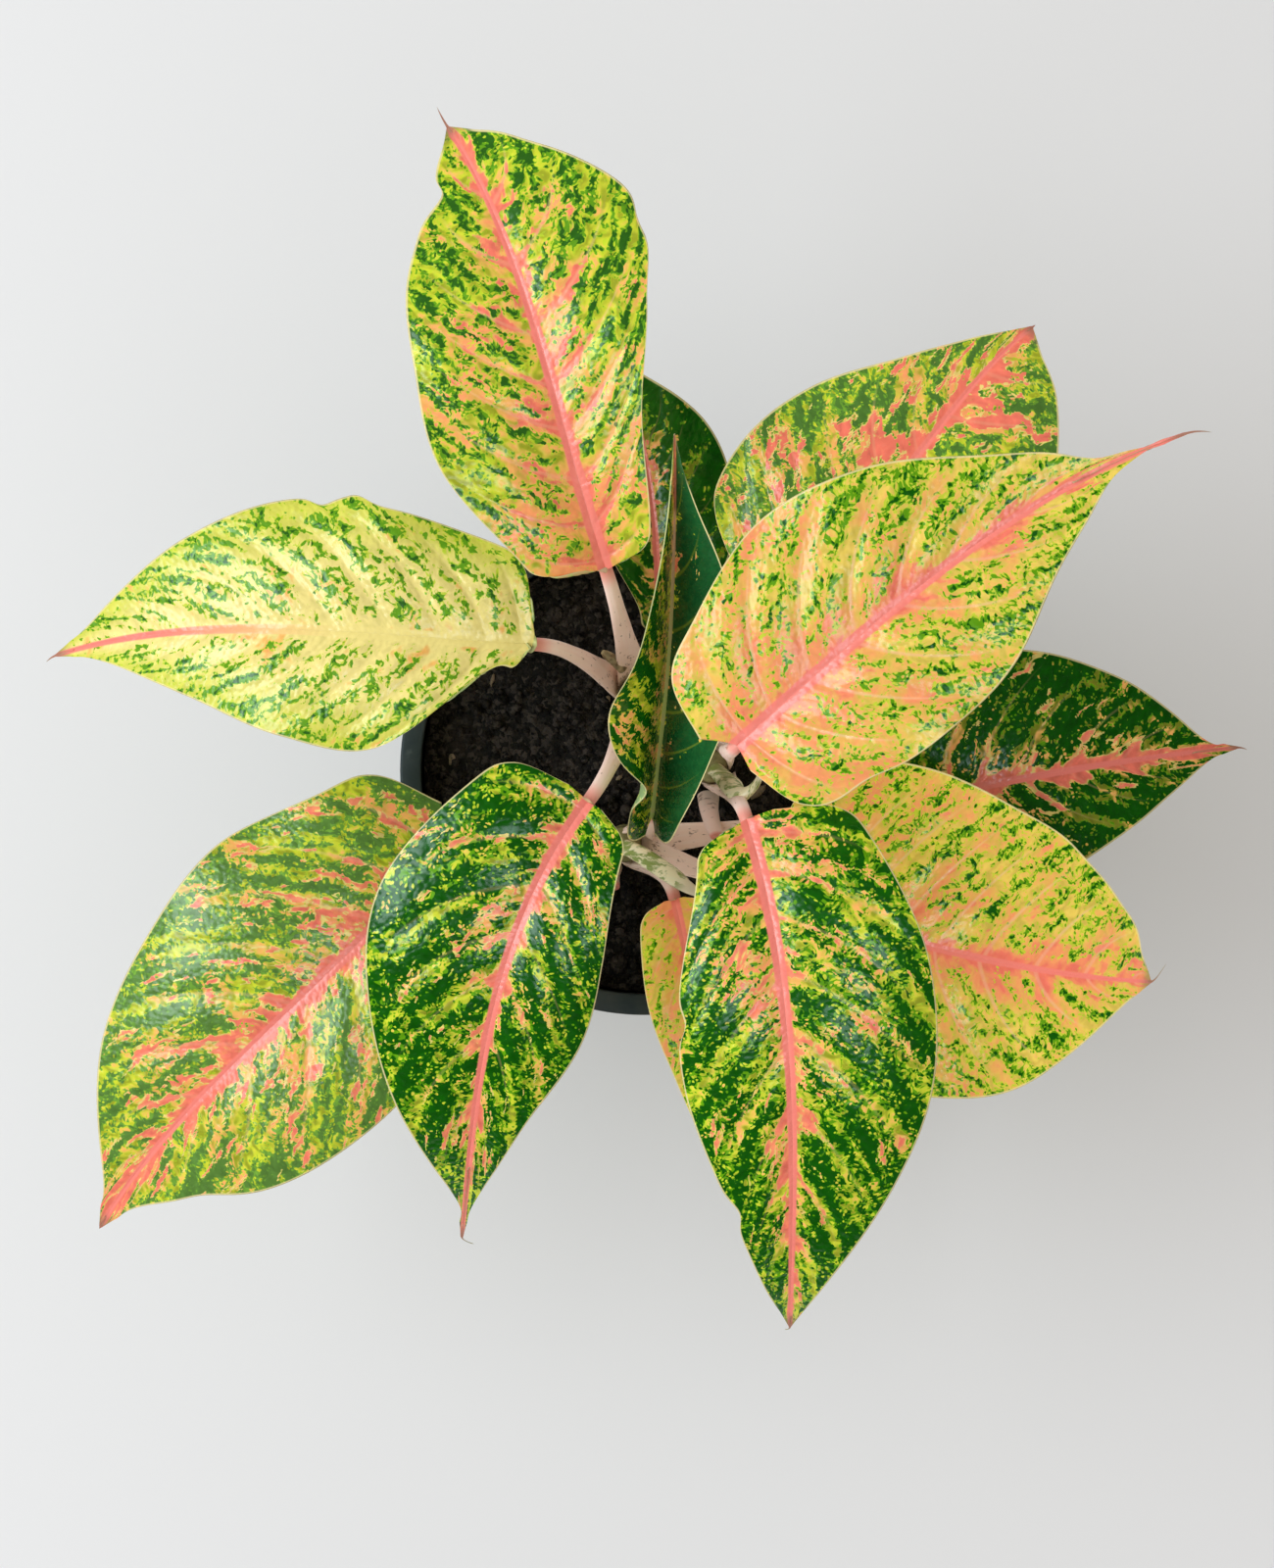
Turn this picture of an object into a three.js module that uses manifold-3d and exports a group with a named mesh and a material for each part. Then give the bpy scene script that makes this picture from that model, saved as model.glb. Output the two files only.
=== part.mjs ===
// A potted chinese evergreen of the spring red kind: twelve patterned leaves on pink petioles,
// three short canes standing in potting soil, and a round plastic nursery pot.
// Millimetres, +Z up. The origin is the middle of the pot's underside, and +Y points to the top leaf.

import * as THREE from 'three';
import Module from 'manifold-3d';
import { mergeVertices } from 'three/addons/utils/BufferGeometryUtils.js';

const wasm = await Module();
wasm.setup();

// Pot and soil
const RIM_RADIUS = 75;
const POT_HEIGHT = 130;
const FOOT_RADIUS = 54;
const RIM_WIDTH = 6.5;
const RIM_LIP = 3;
const EDGE_ROUND = 0.8;
const COLLAR_DROP = 15;
const COLLAR_STEP = 2.4;
const COLLAR_DRAFT = 0.6;
const WALL = 1.8;
const FLOOR = 2.4;
const FOOT_ROUND = 1.5;
const POT_SIDES = 44;
const DRAIN_HOLES = 6;
const DRAIN_RADIUS = 4;
const DRAIN_CIRCLE = 36;
const DRAIN_SIDES = 12;
const SOIL_LEVEL = 118;
const SOIL_RELIEF = 1.5;
const SOIL_EDGE_DROP = 1;
const SOIL_CLEARANCE = 0.8;
const SOIL_RINGS = 6;
const SOIL_SIDES = 36;

// What touches keeps this much air, and a bundle's later pieces are trimmed a little wider
const GAP = 0.3;
const TRIM_GAP = 0.6;

// Canes
const CANE_FOOT = 94;
const CANE_RADIUS = 6.2;
const CANE_TOP_RADIUS = 4.8;
const CANE_SIDES = 12;
const CANE_RINGS = 6;
const CANE_NODE_SWELL = 0.5;
const CANE_CROWN_DROP = 0.5;
const CANE_CROWN_SHARE = 0.6;

// Leaf blades: the midrib is a cubic curve, and each half is as wide as stated at five stations along it
const BLADE_THICKNESS = 0.9;
const BLADE_ROWS = 16;
const BLADE_COLUMNS = [-1, -0.72, -0.4, -0.09, 0, 0.09, 0.4, 0.72, 1];
const SECTION_STEPS = 8;
const VEIN_SWEEP = 1.3;
const VEIN_STARTS = [0, 0.012, 0.035, 0.13, 0.3, 0.5, 0.8, 0.93, 1];
const RIB_DEPTH = 2.0;
const RIB_TIP_DEPTH = 0.2;
const RIB_HALF_WIDTH = 2.2;
const RIB_TIP_SHARE = 0.35;
const TIP_HALF_WIDTH = 0.45;
const STATIONS = [0.1, 0.3, 0.5, 0.7, 0.9];
const BASE_WIDTH = 0.25;
const BASE_TURN = 0.29;
const BASE_TURN_WIDTH = 0.78;
const TIP_TURN = 0.965;
const TIP_TURN_WIDTH = 0.36;
const WAVE_SHIFT = 0.37;
const WAVE_END = 1.2;

// Petioles: shares of the length, with the half width, half thickness and how far the edges wrap the cane
const PETIOLE_STATIONS = [
  { at: 0.00, width: 5.4, depth: 1.5, wrap: 2.8 },
  { at: 0.20, width: 4.4, depth: 1.9, wrap: 2.0 },
  { at: 0.45, width: 3.0, depth: 2.0, wrap: 0.9 },
  { at: 0.70, width: 2.2, depth: 1.9, wrap: 0.2 },
  { at: 1.00, width: 1.9, depth: 1.9, wrap: 0.0 },
];
const PETIOLE_RINGS = 9;
const PETIOLE_SIDES = 10;
const PETIOLE_SEAT = 0.8;
const PETIOLE_SINK = 1.9;
const PETIOLE_LEAN = 0.2;
const PETIOLE_CLIMB = 0.16;
const PETIOLE_LANDING = 0.3;
const PETIOLE_LANDING_LEAST = 5;

// Where each cane stands in the soil, and how high it reaches
const CANES = {
  back: { x: -2, y: 23, top: 152 },
  right: { x: 20, y: 1, top: 154 },
  front: { x: -6.5, y: -22.5, top: 150 },
};

// base and tip are the ends of the midrib. rise and bow bend it up and to its right, a third and two
// thirds of the way out. left and right are half widths at 10, 30, 50, 70 and 90 per cent of the blade.
// fold is how far the halves stand up from the midrib at its two ends, and cup is how far each half
// turns back down by its margin. node is the height of its petiole's foot on the cane.
const LEAVES = [
  {
    name: 'north', cane: 'back', node: 143, base: [-11, 55, 214], tip: [-54, 175, 222],
    rise: [20, 20], bow: [1, 9], left: [24, 36, 35, 29, 11], right: [17, 22, 31, 37, 15],
    lobe: [-0.02, -0.01], fold: [26, 10], cup: 25, twist: 0, wave: [2.5, 1.5, 0.1],
    bays: [['left', 0.86, -4, 0.03], ['right', 0.66, -2, 0.04]],
  },
  {
    name: 'west', cane: 'back', node: 134, base: [-31, 35, 202], tip: [-170, 33, 178],
    rise: [24, 20], bow: [2, 11], left: [9, 32, 30, 19, 5], right: [28, 35, 37, 26, 7],
    lobe: [-0.02, -0.01], fold: [18, 10], cup: 30, twist: 0, wave: [3, 1.5, 0.3],
    bays: [['right', 0.44, -2, 0.025], ['right', 0.37, 2, 0.03]],
  },
  {
    name: 'southwest', cane: 'front', node: 126, base: [-57, -21, 162], tip: [-167, -140, 128],
    rise: [26, 26], bow: [-4, 9], left: [24, 40, 42, 33, 8], right: [39, 50, 46, 34, 8],
    lobe: [0, 0.04], fold: [16, 10], cup: 30, twist: 0, wave: [2.5, 2, 0.2],
    bays: [['left', 0.8, -1.5, 0.04]],
  },
  {
    name: 'south_left', cane: 'back', node: 138, base: [-16, -9, 207], tip: [-55, -140, 146],
    rise: [32, 34], bow: [17, 6], left: [19, 26, 27, 15, 3], right: [31, 41, 36, 23, 3],
    lobe: [0, 0], fold: [22, 10], cup: 40, twist: 0, wave: [2, 1, 0.6], bays: [],
  },
  {
    name: 'south_right', cane: 'right', node: 138, base: [28, -14, 210], tip: [43, -165, 156],
    rise: [34, 34], bow: [-10, -3], left: [33, 42, 41, 29, 10], right: [19, 29, 30, 20, 8],
    lobe: [0, -0.01], fold: [18, 10], cup: 35, twist: 0, wave: [2.5, 1.5, 0.4],
    bays: [['right', 0.36, -2, 0.03], ['right', 0.74, -2.5, 0.03]],
  },
  {
    name: 'south_low', cane: 'front', node: 123, base: [9, -39, 142], tip: [38, -138, 110],
    rise: [18, 16], bow: [2, 7], left: [12, 16, 16, 13, 5], right: [13, 15, 12, 9, 4],
    lobe: [0, 0], fold: [12, 8], cup: 25, twist: 0, wave: [2, 1, 0.1], bays: [],
  },
  {
    name: 'southeast', cane: 'front', node: 138, base: [38, -37, 168], tip: [153, -64, 140],
    rise: [28, 26], bow: [5, 5], left: [47, 50, 46, 39, 20], right: [25, 44, 43, 34, 10],
    lobe: [0.05, 0.01], fold: [12, 8], cup: 25, twist: 0, wave: [2, 2, 0], bays: [],
  },
  {
    name: 'northeast', cane: 'right', node: 146, base: [24, 6, 248], tip: [137, 85, 272],
    rise: [10, 0], bow: [-6, -13], left: [32, 40, 33, 16, 2], right: [30, 34, 31, 16, 2],
    lobe: [0.04, 0.01], fold: [16, 12], cup: 25, twist: 0, wave: [3, 1.5, 0.5],
    bays: [['right', 0.14, -1.5, 0.05], ['left', 0.84, -2.5, 0.05], ['right', 0.85, -1.5, 0.05]],
  },
  {
    name: 'east', cane: 'front', node: 129, base: [65, -12, 150], tip: [182, 7, 126],
    rise: [20, 18], bow: [-2, -3], left: [31, 40, 37, 25, 4], right: [27, 35, 29, 18, 4],
    lobe: [0, 0.03], fold: [14, 10], cup: 30, twist: 0, wave: [2.5, 1.5, 0.7], bays: [],
  },
  {
    name: 'north_right', cane: 'right', node: 130, base: [35, 47, 188], tip: [112, 128, 176],
    rise: [22, 20], bow: [10, -5], left: [38, 41, 36, 20, 6], right: [18, 31, 35, 36, 21],
    lobe: [0.02, 0], fold: [16, 10], cup: 30, twist: 0, wave: [2.5, 1.5, 0.2], bays: [],
  },
  {
    name: 'back', cane: 'back', node: 127, base: [4, 42, 160], tip: [-9, 120, 172],
    rise: [10, 8], bow: [4, 7], left: [7, 15, 18, 17, 9], right: [15, 23, 24, 19, 6],
    lobe: [0.01, 0], fold: [30, 14], cup: 20, twist: 0, wave: [2, 1, 0], bays: [],
  },
  {
    name: 'center', cane: 'front', node: 143, base: [2, -13, 177], tip: [7, 85, 270],
    rise: [-9, -13], bow: [2, 3], left: [19, 29, 27, 18, 4], right: [20, 26, 29, 22, 5],
    lobe: [0.04, 0.03], fold: [74, 58], cup: 12, twist: -20, wave: [1.5, 1.5, 0],
    bays: [], curls: [['left', 0, -45, 0.08], ['left', 0.2, 60, 0.08], ['left', 0.45, -40, 0.12]],
  },
];

// Young leaves still rolled up, pruned petioles and a dry sheath tip: a path with a radius at each point
const SMALL_SHOOTS = [
  {
    name: 'new_leaf_hook', kind: 'young', squash: 0.8,
    path: [
      [21, 0, 152, 2.6], [23, -3, 175, 2.9], [24.5, -5, 190, 3.1], [26.5, -7, 196, 2.7],
      [29.5, -6, 198.5, 1.9], [32, -2.5, 199, 1.2], [31.5, 1.5, 200, 0.7], [29, 3.5, 202, 0.4],
    ],
  },
  {
    name: 'new_leaf_spear', kind: 'young', squash: 0.7,
    path: [
      [-6, -23, 148, 2.6], [-1, -25.5, 157, 2.9], [6, -30, 163, 2.9], [12, -34, 167, 2.2],
      [17, -37, 169, 0.8],
    ],
  },
  {
    name: 'cut_petiole_right', kind: 'petiole', squash: 0.6,
    path: [[19.5, -8, 126, 3.4], [19.5, -12, 136, 2.9], [20.5, -17, 145, 2.4], [21.5, -20, 149, 1.9]],
  },
  {
    name: 'cut_petiole_front', kind: 'petiole', squash: 0.7,
    path: [[-10, -29.5, 121, 3.2], [-10.5, -32, 127, 2.9], [-10, -35.5, 132, 2.4]],
  },
  {
    name: 'sheath_tip', kind: 'dry', squash: 0.6,
    path: [[-6.5, 30, 158, 1.7], [-9, 32, 166, 1.6], [-11.2, 33.3, 173, 1.3], [-12.3, 34, 177, 0.7]],
  },
];
const SHOOT_SIDES = 10;
const SHOOT_RINGS = 9;
const SHOOT_STEP = 0.02;

const COLOURS = {
  lime: 0xb9c244,
  green: 0x3f7d24,
  dark: 0x1f5a22,
  pink: 0xe0b8a2,
  young: 0xc9c98a,
  dry: 0xb09a72,
  cane: 0x8f9a5c,
  soil: 0x17120e,
  pot: 0x1d2c30,
};
const BLADE_COLOURS = {
  north: 'lime', west: 'lime', southwest: 'green', south_left: 'dark', south_right: 'green',
  south_low: 'lime', southeast: 'lime', northeast: 'lime', east: 'dark', north_right: 'green',
  back: 'dark', center: 'dark',
};

// Numbers and curves

const mix = (a, b, t) => a + (b - a) * t;
const radians = (degrees) => THREE.MathUtils.degToRad(degrees);
const vec = ([x, y, z]) => new THREE.Vector3(x, y, z);

function seededRandom(seed) {
  let state = seed;
  return () => {
    state = (state * 1664525 + 1013904223) % 4294967296;
    return state / 4294967296;
  };
}

// A smooth curve through rows of numbers, at share q of the way from the first row to the last
function throughRows(rows, q) {
  const last = rows.length - 1;
  const place = Math.min(Math.max(q, 0), 1) * last;
  const index = Math.min(Math.floor(place), last - 1);
  const t = place - index;
  return rows[0].map((_, column) => {
    const b = rows[index][column];
    const c = rows[index + 1][column];
    const a = index > 0 ? rows[index - 1][column] : 2 * b - c;
    const d = index + 2 <= last ? rows[index + 2][column] : 2 * c - b;
    const cubic = (3 * b - a - 3 * c + d) * t ** 3;
    const square = (2 * a - 5 * b + 4 * c - d) * t ** 2;
    return 0.5 * (2 * b + (c - a) * t + square + cubic);
  });
}

// Straight blending of the numbered fields of a list of stations
function atStation(stations, share) {
  const next = Math.max(1, stations.findIndex((station) => station.at >= share));
  const from = stations[next - 1];
  const to = stations[next];
  const t = (share - from.at) / (to.at - from.at);
  return {
    width: mix(from.width, to.width, t),
    depth: mix(from.depth, to.depth, t),
    wrap: mix(from.wrap, to.wrap, t),
  };
}

// Closed solids

function geometryFrom(points, triangles) {
  const geometry = new THREE.BufferGeometry();
  const flat = points.flatMap((point) => point.toArray());
  geometry.setAttribute('position', new THREE.Float32BufferAttribute(flat, 3));
  let volume = 0;
  for (const [a, b, c] of triangles) {
    volume += points[a].dot(points[b].clone().cross(points[c]));
  }
  const outward = volume > 0 ? triangles : triangles.map(([a, b, c]) => [a, c, b]);
  geometry.setIndex(outward.flat());
  return geometry;
}

// Rings of equal count joined into a skin, with both ends closed on their middles
function loft(rings) {
  const sides = rings[0].length;
  const points = rings.flat();
  const triangles = [];
  for (let ring = 0; ring + 1 < rings.length; ring += 1) {
    for (let side = 0; side < sides; side += 1) {
      const a = ring * sides + side;
      const b = ring * sides + (side + 1) % sides;
      triangles.push([a, b, b + sides], [a, b + sides, a + sides]);
    }
  }
  for (const [ring, turn] of [[0, false], [rings.length - 1, true]]) {
    const middle = new THREE.Vector3();
    rings[ring].forEach((point) => middle.add(point));
    points.push(middle.divideScalar(sides));
    const centre = points.length - 1;
    for (let side = 0; side < sides; side += 1) {
      const a = ring * sides + side;
      const b = ring * sides + (side + 1) % sides;
      triangles.push(turn ? [a, b, centre] : [b, a, centre]);
    }
  }
  return geometryFrom(points, triangles);
}

// A sheet between two like grids of points, closed round its four edges
function slab(top, bottom) {
  const rows = top.length;
  const columns = top[0].length;
  const count = rows * columns;
  const points = [...top.flat(), ...bottom.flat()];
  const at = (row, column) => row * columns + column;
  const triangles = [];
  for (let row = 0; row + 1 < rows; row += 1) {
    for (let column = 0; column + 1 < columns; column += 1) {
      const a = at(row, column);
      const b = at(row, column + 1);
      const c = at(row + 1, column + 1);
      const d = at(row + 1, column);
      triangles.push([a, b, c], [a, c, d]);
      triangles.push([b + count, a + count, c + count], [c + count, a + count, d + count]);
    }
  }
  const edge = [];
  for (let column = 0; column < columns - 1; column += 1) edge.push(at(0, column));
  for (let row = 0; row < rows - 1; row += 1) edge.push(at(row, columns - 1));
  for (let column = columns - 1; column > 0; column -= 1) edge.push(at(rows - 1, column));
  for (let row = rows - 1; row > 0; row -= 1) edge.push(at(row, 0));
  edge.forEach((a, index) => {
    const b = edge[(index + 1) % edge.length];
    triangles.push([b, a, a + count], [b, a + count, b + count]);
  });
  return geometryFrom(points, triangles);
}

function toSolid(geometry) {
  const bare = geometry.clone();
  bare.deleteAttribute('normal');
  bare.deleteAttribute('uv');
  const merged = mergeVertices(bare);
  const vertProperties = new Float32Array(merged.attributes.position.array);
  const triVerts = new Uint32Array(merged.index.array);
  return new wasm.Manifold(new wasm.Mesh({ numProp: 3, vertProperties, triVerts }));
}

function toGeometry(solid) {
  const mesh = solid.getMesh();
  const geometry = new THREE.BufferGeometry();
  geometry.setAttribute('position', new THREE.BufferAttribute(mesh.vertProperties, 3));
  geometry.setIndex(new THREE.BufferAttribute(mesh.triVerts, 1));
  return geometry;
}

// The largest body left after a cut, without loose scraps
function mainBody(solid) {
  const bodies = solid.decompose();
  return bodies.reduce((best, body) => (body.volume() > best.volume() ? body : best));
}

// Leaf blades

// Rows from base to tip: the margin's place as a share of the midrib, its half width, and its vein's start
function marginRows(widths, lobe) {
  const first = widths[0];
  const fifth = widths[widths.length - 1];
  const places = [-lobe, mix(-lobe, STATIONS[0], BASE_TURN), ...STATIONS, TIP_TURN, 1];
  const base = [BASE_WIDTH * first, BASE_TURN_WIDTH * first];
  const halfWidths = [...base, ...widths, TIP_TURN_WIDTH * fifth, TIP_HALF_WIDTH];
  return places.map((place, row) => [place, halfWidths[row], VEIN_STARTS[row]]);
}

function midribOf(leaf) {
  const base = vec(leaf.base);
  const tip = vec(leaf.tip);
  const across = tip.clone().sub(base);
  const toRight = new THREE.Vector3(across.y, -across.x, 0).normalize();
  const bend = (share, step) => base.clone()
    .addScaledVector(across, share)
    .addScaledVector(toRight, leaf.bow[step])
    .add(new THREE.Vector3(0, 0, leaf.rise[step]));
  return new THREE.CubicBezierCurve3(base, bend(1 / 3, 0), bend(2 / 3, 1), tip);
}

// The derivative of the midrib at share s, in mm for the whole length
function midribSlope(curve, s) {
  const { v0, v1, v2, v3 } = curve;
  return v1.clone().sub(v0).multiplyScalar(3 * (1 - s) ** 2)
    .addScaledVector(v2.clone().sub(v1), 6 * (1 - s) * s)
    .addScaledVector(v3.clone().sub(v2), 3 * s ** 2);
}

// Along, sideways and up at share s of the midrib
function midribFrame(leaf, curve, s) {
  const along = midribSlope(curve, s).normalize();
  const level = along.clone().cross(new THREE.Vector3(0, 0, 1)).normalize();
  const steep = level.clone().cross(along);
  const turn = radians(leaf.twist * s);
  const side = level.clone().multiplyScalar(Math.cos(turn)).addScaledVector(steep, Math.sin(turn));
  const up = steep.clone().multiplyScalar(Math.cos(turn)).addScaledVector(level, -Math.sin(turn));
  return { along, side, up };
}

const bump = (distance, reach) => Math.exp(-((distance / reach) ** 2));

// A point of the upper face: q from the base to the tip, v from the left margin over the midrib to the right
function bladePoint(leaf, curve, q, v) {
  const right = v > 0;
  const widths = right ? leaf.right : leaf.left;
  const half = Math.max(...widths);
  const name = right ? 'right' : 'left';
  const [marginAt, marginWidth, veinStart] = throughRows(marginRows(widths, leaf.lobe[right ? 1 : 0]), q);
  const out = Math.abs(v);
  const along = veinStart + (marginAt - veinStart) * out ** VEIN_SWEEP;
  let width = marginWidth * out;
  for (const [side, at, depth, reach] of leaf.bays) {
    if (side === name) width += depth * out ** 2 * bump(marginAt - at, reach);
  }
  width = Math.max(width, 0);
  const s = Math.max(along, 0);
  const share = width / half;
  const fold = radians(mix(leaf.fold[0], leaf.fold[1], s));
  let curl = 0;
  for (const [side, at, degrees, reach] of leaf.curls ?? []) {
    if (side === name) curl += radians(degrees) * bump(along - at, reach);
  }
  let sideways = 0;
  let height = 0;
  for (let step = 0; step < SECTION_STEPS; step += 1) {
    const t = share * (step + 0.5) / SECTION_STEPS;
    const angle = fold - radians(leaf.cup) * t + curl * t * t;
    sideways += Math.cos(angle) * width / SECTION_STEPS;
    height += Math.sin(angle) * width / SECTION_STEPS;
  }
  const [waves, swing, phase] = leaf.wave;
  const turn = 2 * Math.PI * (waves * along + phase + (right ? 0 : WAVE_SHIFT));
  height += swing * Math.sin(turn) * share ** 2 * Math.min(Math.max(WAVE_END - s, 0), 1);
  const frame = midribFrame(leaf, curve, s);
  return curve.getPoint(s)
    .addScaledVector(midribSlope(curve, 0), Math.min(along, 0))
    .addScaledVector(frame.side, sideways * Math.sign(v))
    .addScaledVector(frame.up, height);
}

function ribDepth(s, distance) {
  const halfWidth = RIB_HALF_WIDTH * mix(1, RIB_TIP_SHARE, s);
  const round = Math.max(1 - (distance / halfWidth) ** 2, 0);
  return mix(RIB_DEPTH, RIB_TIP_DEPTH, s) * round;
}

function blade(leaf) {
  const curve = midribOf(leaf);
  const top = [];
  for (let row = 0; row <= BLADE_ROWS; row += 1) {
    top.push(BLADE_COLUMNS.map((v) => bladePoint(leaf, curve, row / BLADE_ROWS, v)));
  }
  const middle = BLADE_COLUMNS.indexOf(0);
  const bottom = top.map((points, row) => points.map((point, column) => {
    const before = top[Math.max(row - 1, 0)][column];
    const after = top[Math.min(row + 1, BLADE_ROWS)][column];
    const left = points[Math.max(column - 1, 0)];
    const right = points[Math.min(column + 1, points.length - 1)];
    const normal = right.clone().sub(left).cross(after.clone().sub(before)).normalize();
    const rib = ribDepth(row / BLADE_ROWS, point.distanceTo(points[middle]));
    return point.clone().addScaledVector(normal, -BLADE_THICKNESS - rib);
  }));
  return slab(top, bottom);
}

// Petioles

// The middle line of a leaf's petiole, from the side of its cane to just behind the blade
function petiolePath(leaf) {
  const place = CANES[leaf.cane];
  const start = midribFrame(leaf, midribOf(leaf), 0);
  const end = vec(leaf.base)
    .addScaledVector(start.up, -PETIOLE_SINK)
    .addScaledVector(start.along, -PETIOLE_SEAT);
  const out = new THREE.Vector3(end.x - place.x, end.y - place.y, 0);
  if (out.length() < CANE_RADIUS) out.set(start.along.x, start.along.y, 0);
  out.normalize();
  const foot = new THREE.Vector3(place.x, place.y, leaf.node)
    .addScaledVector(out, caneRadius(place, leaf.node) + PETIOLE_STATIONS[0].depth);
  const reach = end.distanceTo(foot);
  const lean = end.clone().sub(foot).normalize();
  const early = foot.clone()
    .addScaledVector(lean, PETIOLE_LEAN * reach)
    .add(new THREE.Vector3(0, 0, PETIOLE_CLIMB * reach));
  const level = Math.hypot(end.x - foot.x, end.y - foot.y);
  const landing = PETIOLE_LANDING * level + PETIOLE_LANDING_LEAST;
  const late = end.clone().addScaledVector(start.along, -landing);
  return { curve: new THREE.CubicBezierCurve3(foot, early, late, end), side: start.side };
}

function petiole(leaf, spare = 0) {
  const { curve, side } = petiolePath(leaf);
  const rings = [];
  let across = side.clone();
  for (let ring = PETIOLE_RINGS - 1; ring >= 0; ring -= 1) {
    const share = ring / (PETIOLE_RINGS - 1);
    const along = curve.getTangent(share);
    across = across.clone().addScaledVector(along, -across.dot(along)).normalize();
    const inward = across.clone().cross(along);
    const size = atStation(PETIOLE_STATIONS, share);
    const centre = curve.getPoint(share).addScaledVector(along, spare * (2 * share - 1));
    const points = [];
    for (let step = 0; step < PETIOLE_SIDES; step += 1) {
      const turn = 2 * Math.PI * step / PETIOLE_SIDES;
      const wrap = size.wrap * Math.cos(turn) ** 2;
      points.push(centre.clone()
        .addScaledVector(across, (size.width + spare) * Math.cos(turn))
        .addScaledVector(inward, (size.depth + spare) * Math.sin(turn) + wrap));
    }
    rings.unshift(points);
  }
  return loft(rings);
}

// Small shoots, each a flattened tube through its points

function smallShoot(shoot, spare = 0) {
  const rings = [];
  const up = new THREE.Vector3(0, 0, 1);
  const pointAt = (share) => throughRows(shoot.path, share);
  let across = null;
  for (let ring = 0; ring < SHOOT_RINGS; ring += 1) {
    const share = ring / (SHOOT_RINGS - 1);
    const [x, y, z, radius] = pointAt(share);
    const before = vec(pointAt(Math.max(share - SHOOT_STEP, 0)));
    const after = vec(pointAt(Math.min(share + SHOOT_STEP, 1)));
    const along = after.sub(before).normalize();
    across = across ?? along.clone().cross(up).normalize();
    across = across.clone().addScaledVector(along, -across.dot(along)).normalize();
    const other = across.clone().cross(along);
    const centre = new THREE.Vector3(x, y, z).addScaledVector(along, spare * (2 * share - 1));
    const points = [];
    for (let step = 0; step < SHOOT_SIDES; step += 1) {
      const turn = 2 * Math.PI * step / SHOOT_SIDES;
      points.push(centre.clone()
        .addScaledVector(across, (radius + spare) * Math.cos(turn))
        .addScaledVector(other, (radius * shoot.squash + spare) * Math.sin(turn)));
    }
    rings.push(points);
  }
  return loft(rings);
}

// Canes

function caneRadius({ top }, z) {
  return mix(CANE_RADIUS, CANE_TOP_RADIUS, (z - CANE_FOOT) / (top - CANE_FOOT));
}

function cane(place, spare = 0) {
  const { x, y, top } = place;
  const foot = CANE_FOOT - spare;
  const profile = [new THREE.Vector2(0, foot)];
  for (let ring = 0; ring <= CANE_RINGS; ring += 1) {
    const z = mix(foot, top - CANE_TOP_RADIUS / 2, ring / CANE_RINGS);
    const swell = ring % 2 === 0 ? CANE_NODE_SWELL : 0;
    profile.push(new THREE.Vector2(caneRadius(place, z) + swell + spare, z));
  }
  profile.push(new THREE.Vector2(CANE_TOP_RADIUS * CANE_CROWN_SHARE + spare, top - CANE_CROWN_DROP + spare));
  profile.push(new THREE.Vector2(0, top + spare));
  const geometry = new THREE.LatheGeometry(profile, CANE_SIDES);
  geometry.rotateX(Math.PI / 2);
  geometry.translate(x, y, 0);
  return geometry;
}

// Pot

function lathe(profile, sides) {
  const geometry = new THREE.LatheGeometry(profile.map(([r, z]) => new THREE.Vector2(r, z)), sides);
  geometry.rotateX(Math.PI / 2);
  return geometry;
}

// The outer wall's radius at height z
function wallRadius(z) {
  const neck = POT_HEIGHT - COLLAR_DROP;
  return mix(FOOT_RADIUS, RIM_RADIUS - 2 * COLLAR_DRAFT - COLLAR_STEP, z / neck);
}

function pot() {
  const neck = POT_HEIGHT - COLLAR_DROP;
  const mouth = RIM_RADIUS - RIM_WIDTH;
  const profile = [
    [0, 0],
    [FOOT_RADIUS - FOOT_ROUND, 0],
    [FOOT_RADIUS, FOOT_ROUND],
    [wallRadius(neck), neck],
    [RIM_RADIUS - 2 * COLLAR_DRAFT, neck + EDGE_ROUND],
    [RIM_RADIUS - COLLAR_DRAFT, POT_HEIGHT - RIM_LIP - COLLAR_DRAFT],
    [RIM_RADIUS, POT_HEIGHT - RIM_LIP],
    [RIM_RADIUS, POT_HEIGHT - EDGE_ROUND],
    [RIM_RADIUS - EDGE_ROUND, POT_HEIGHT],
    [mouth + EDGE_ROUND, POT_HEIGHT],
    [mouth, POT_HEIGHT - EDGE_ROUND],
    [wallRadius(neck) - WALL, neck - COLLAR_STEP],
    [FOOT_RADIUS - WALL, FLOOR],
    [0, FLOOR],
  ];
  let body = toSolid(lathe(profile, POT_SIDES));
  for (let hole = 0; hole < DRAIN_HOLES; hole += 1) {
    const turn = 2 * Math.PI * hole / DRAIN_HOLES;
    const drill = new THREE.CylinderGeometry(DRAIN_RADIUS, DRAIN_RADIUS, 3 * FLOOR, DRAIN_SIDES);
    drill.rotateX(Math.PI / 2);
    drill.translate(DRAIN_CIRCLE * Math.cos(turn), DRAIN_CIRCLE * Math.sin(turn), 0);
    body = body.subtract(toSolid(drill));
  }
  return toGeometry(body);
}

// Soil

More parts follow.
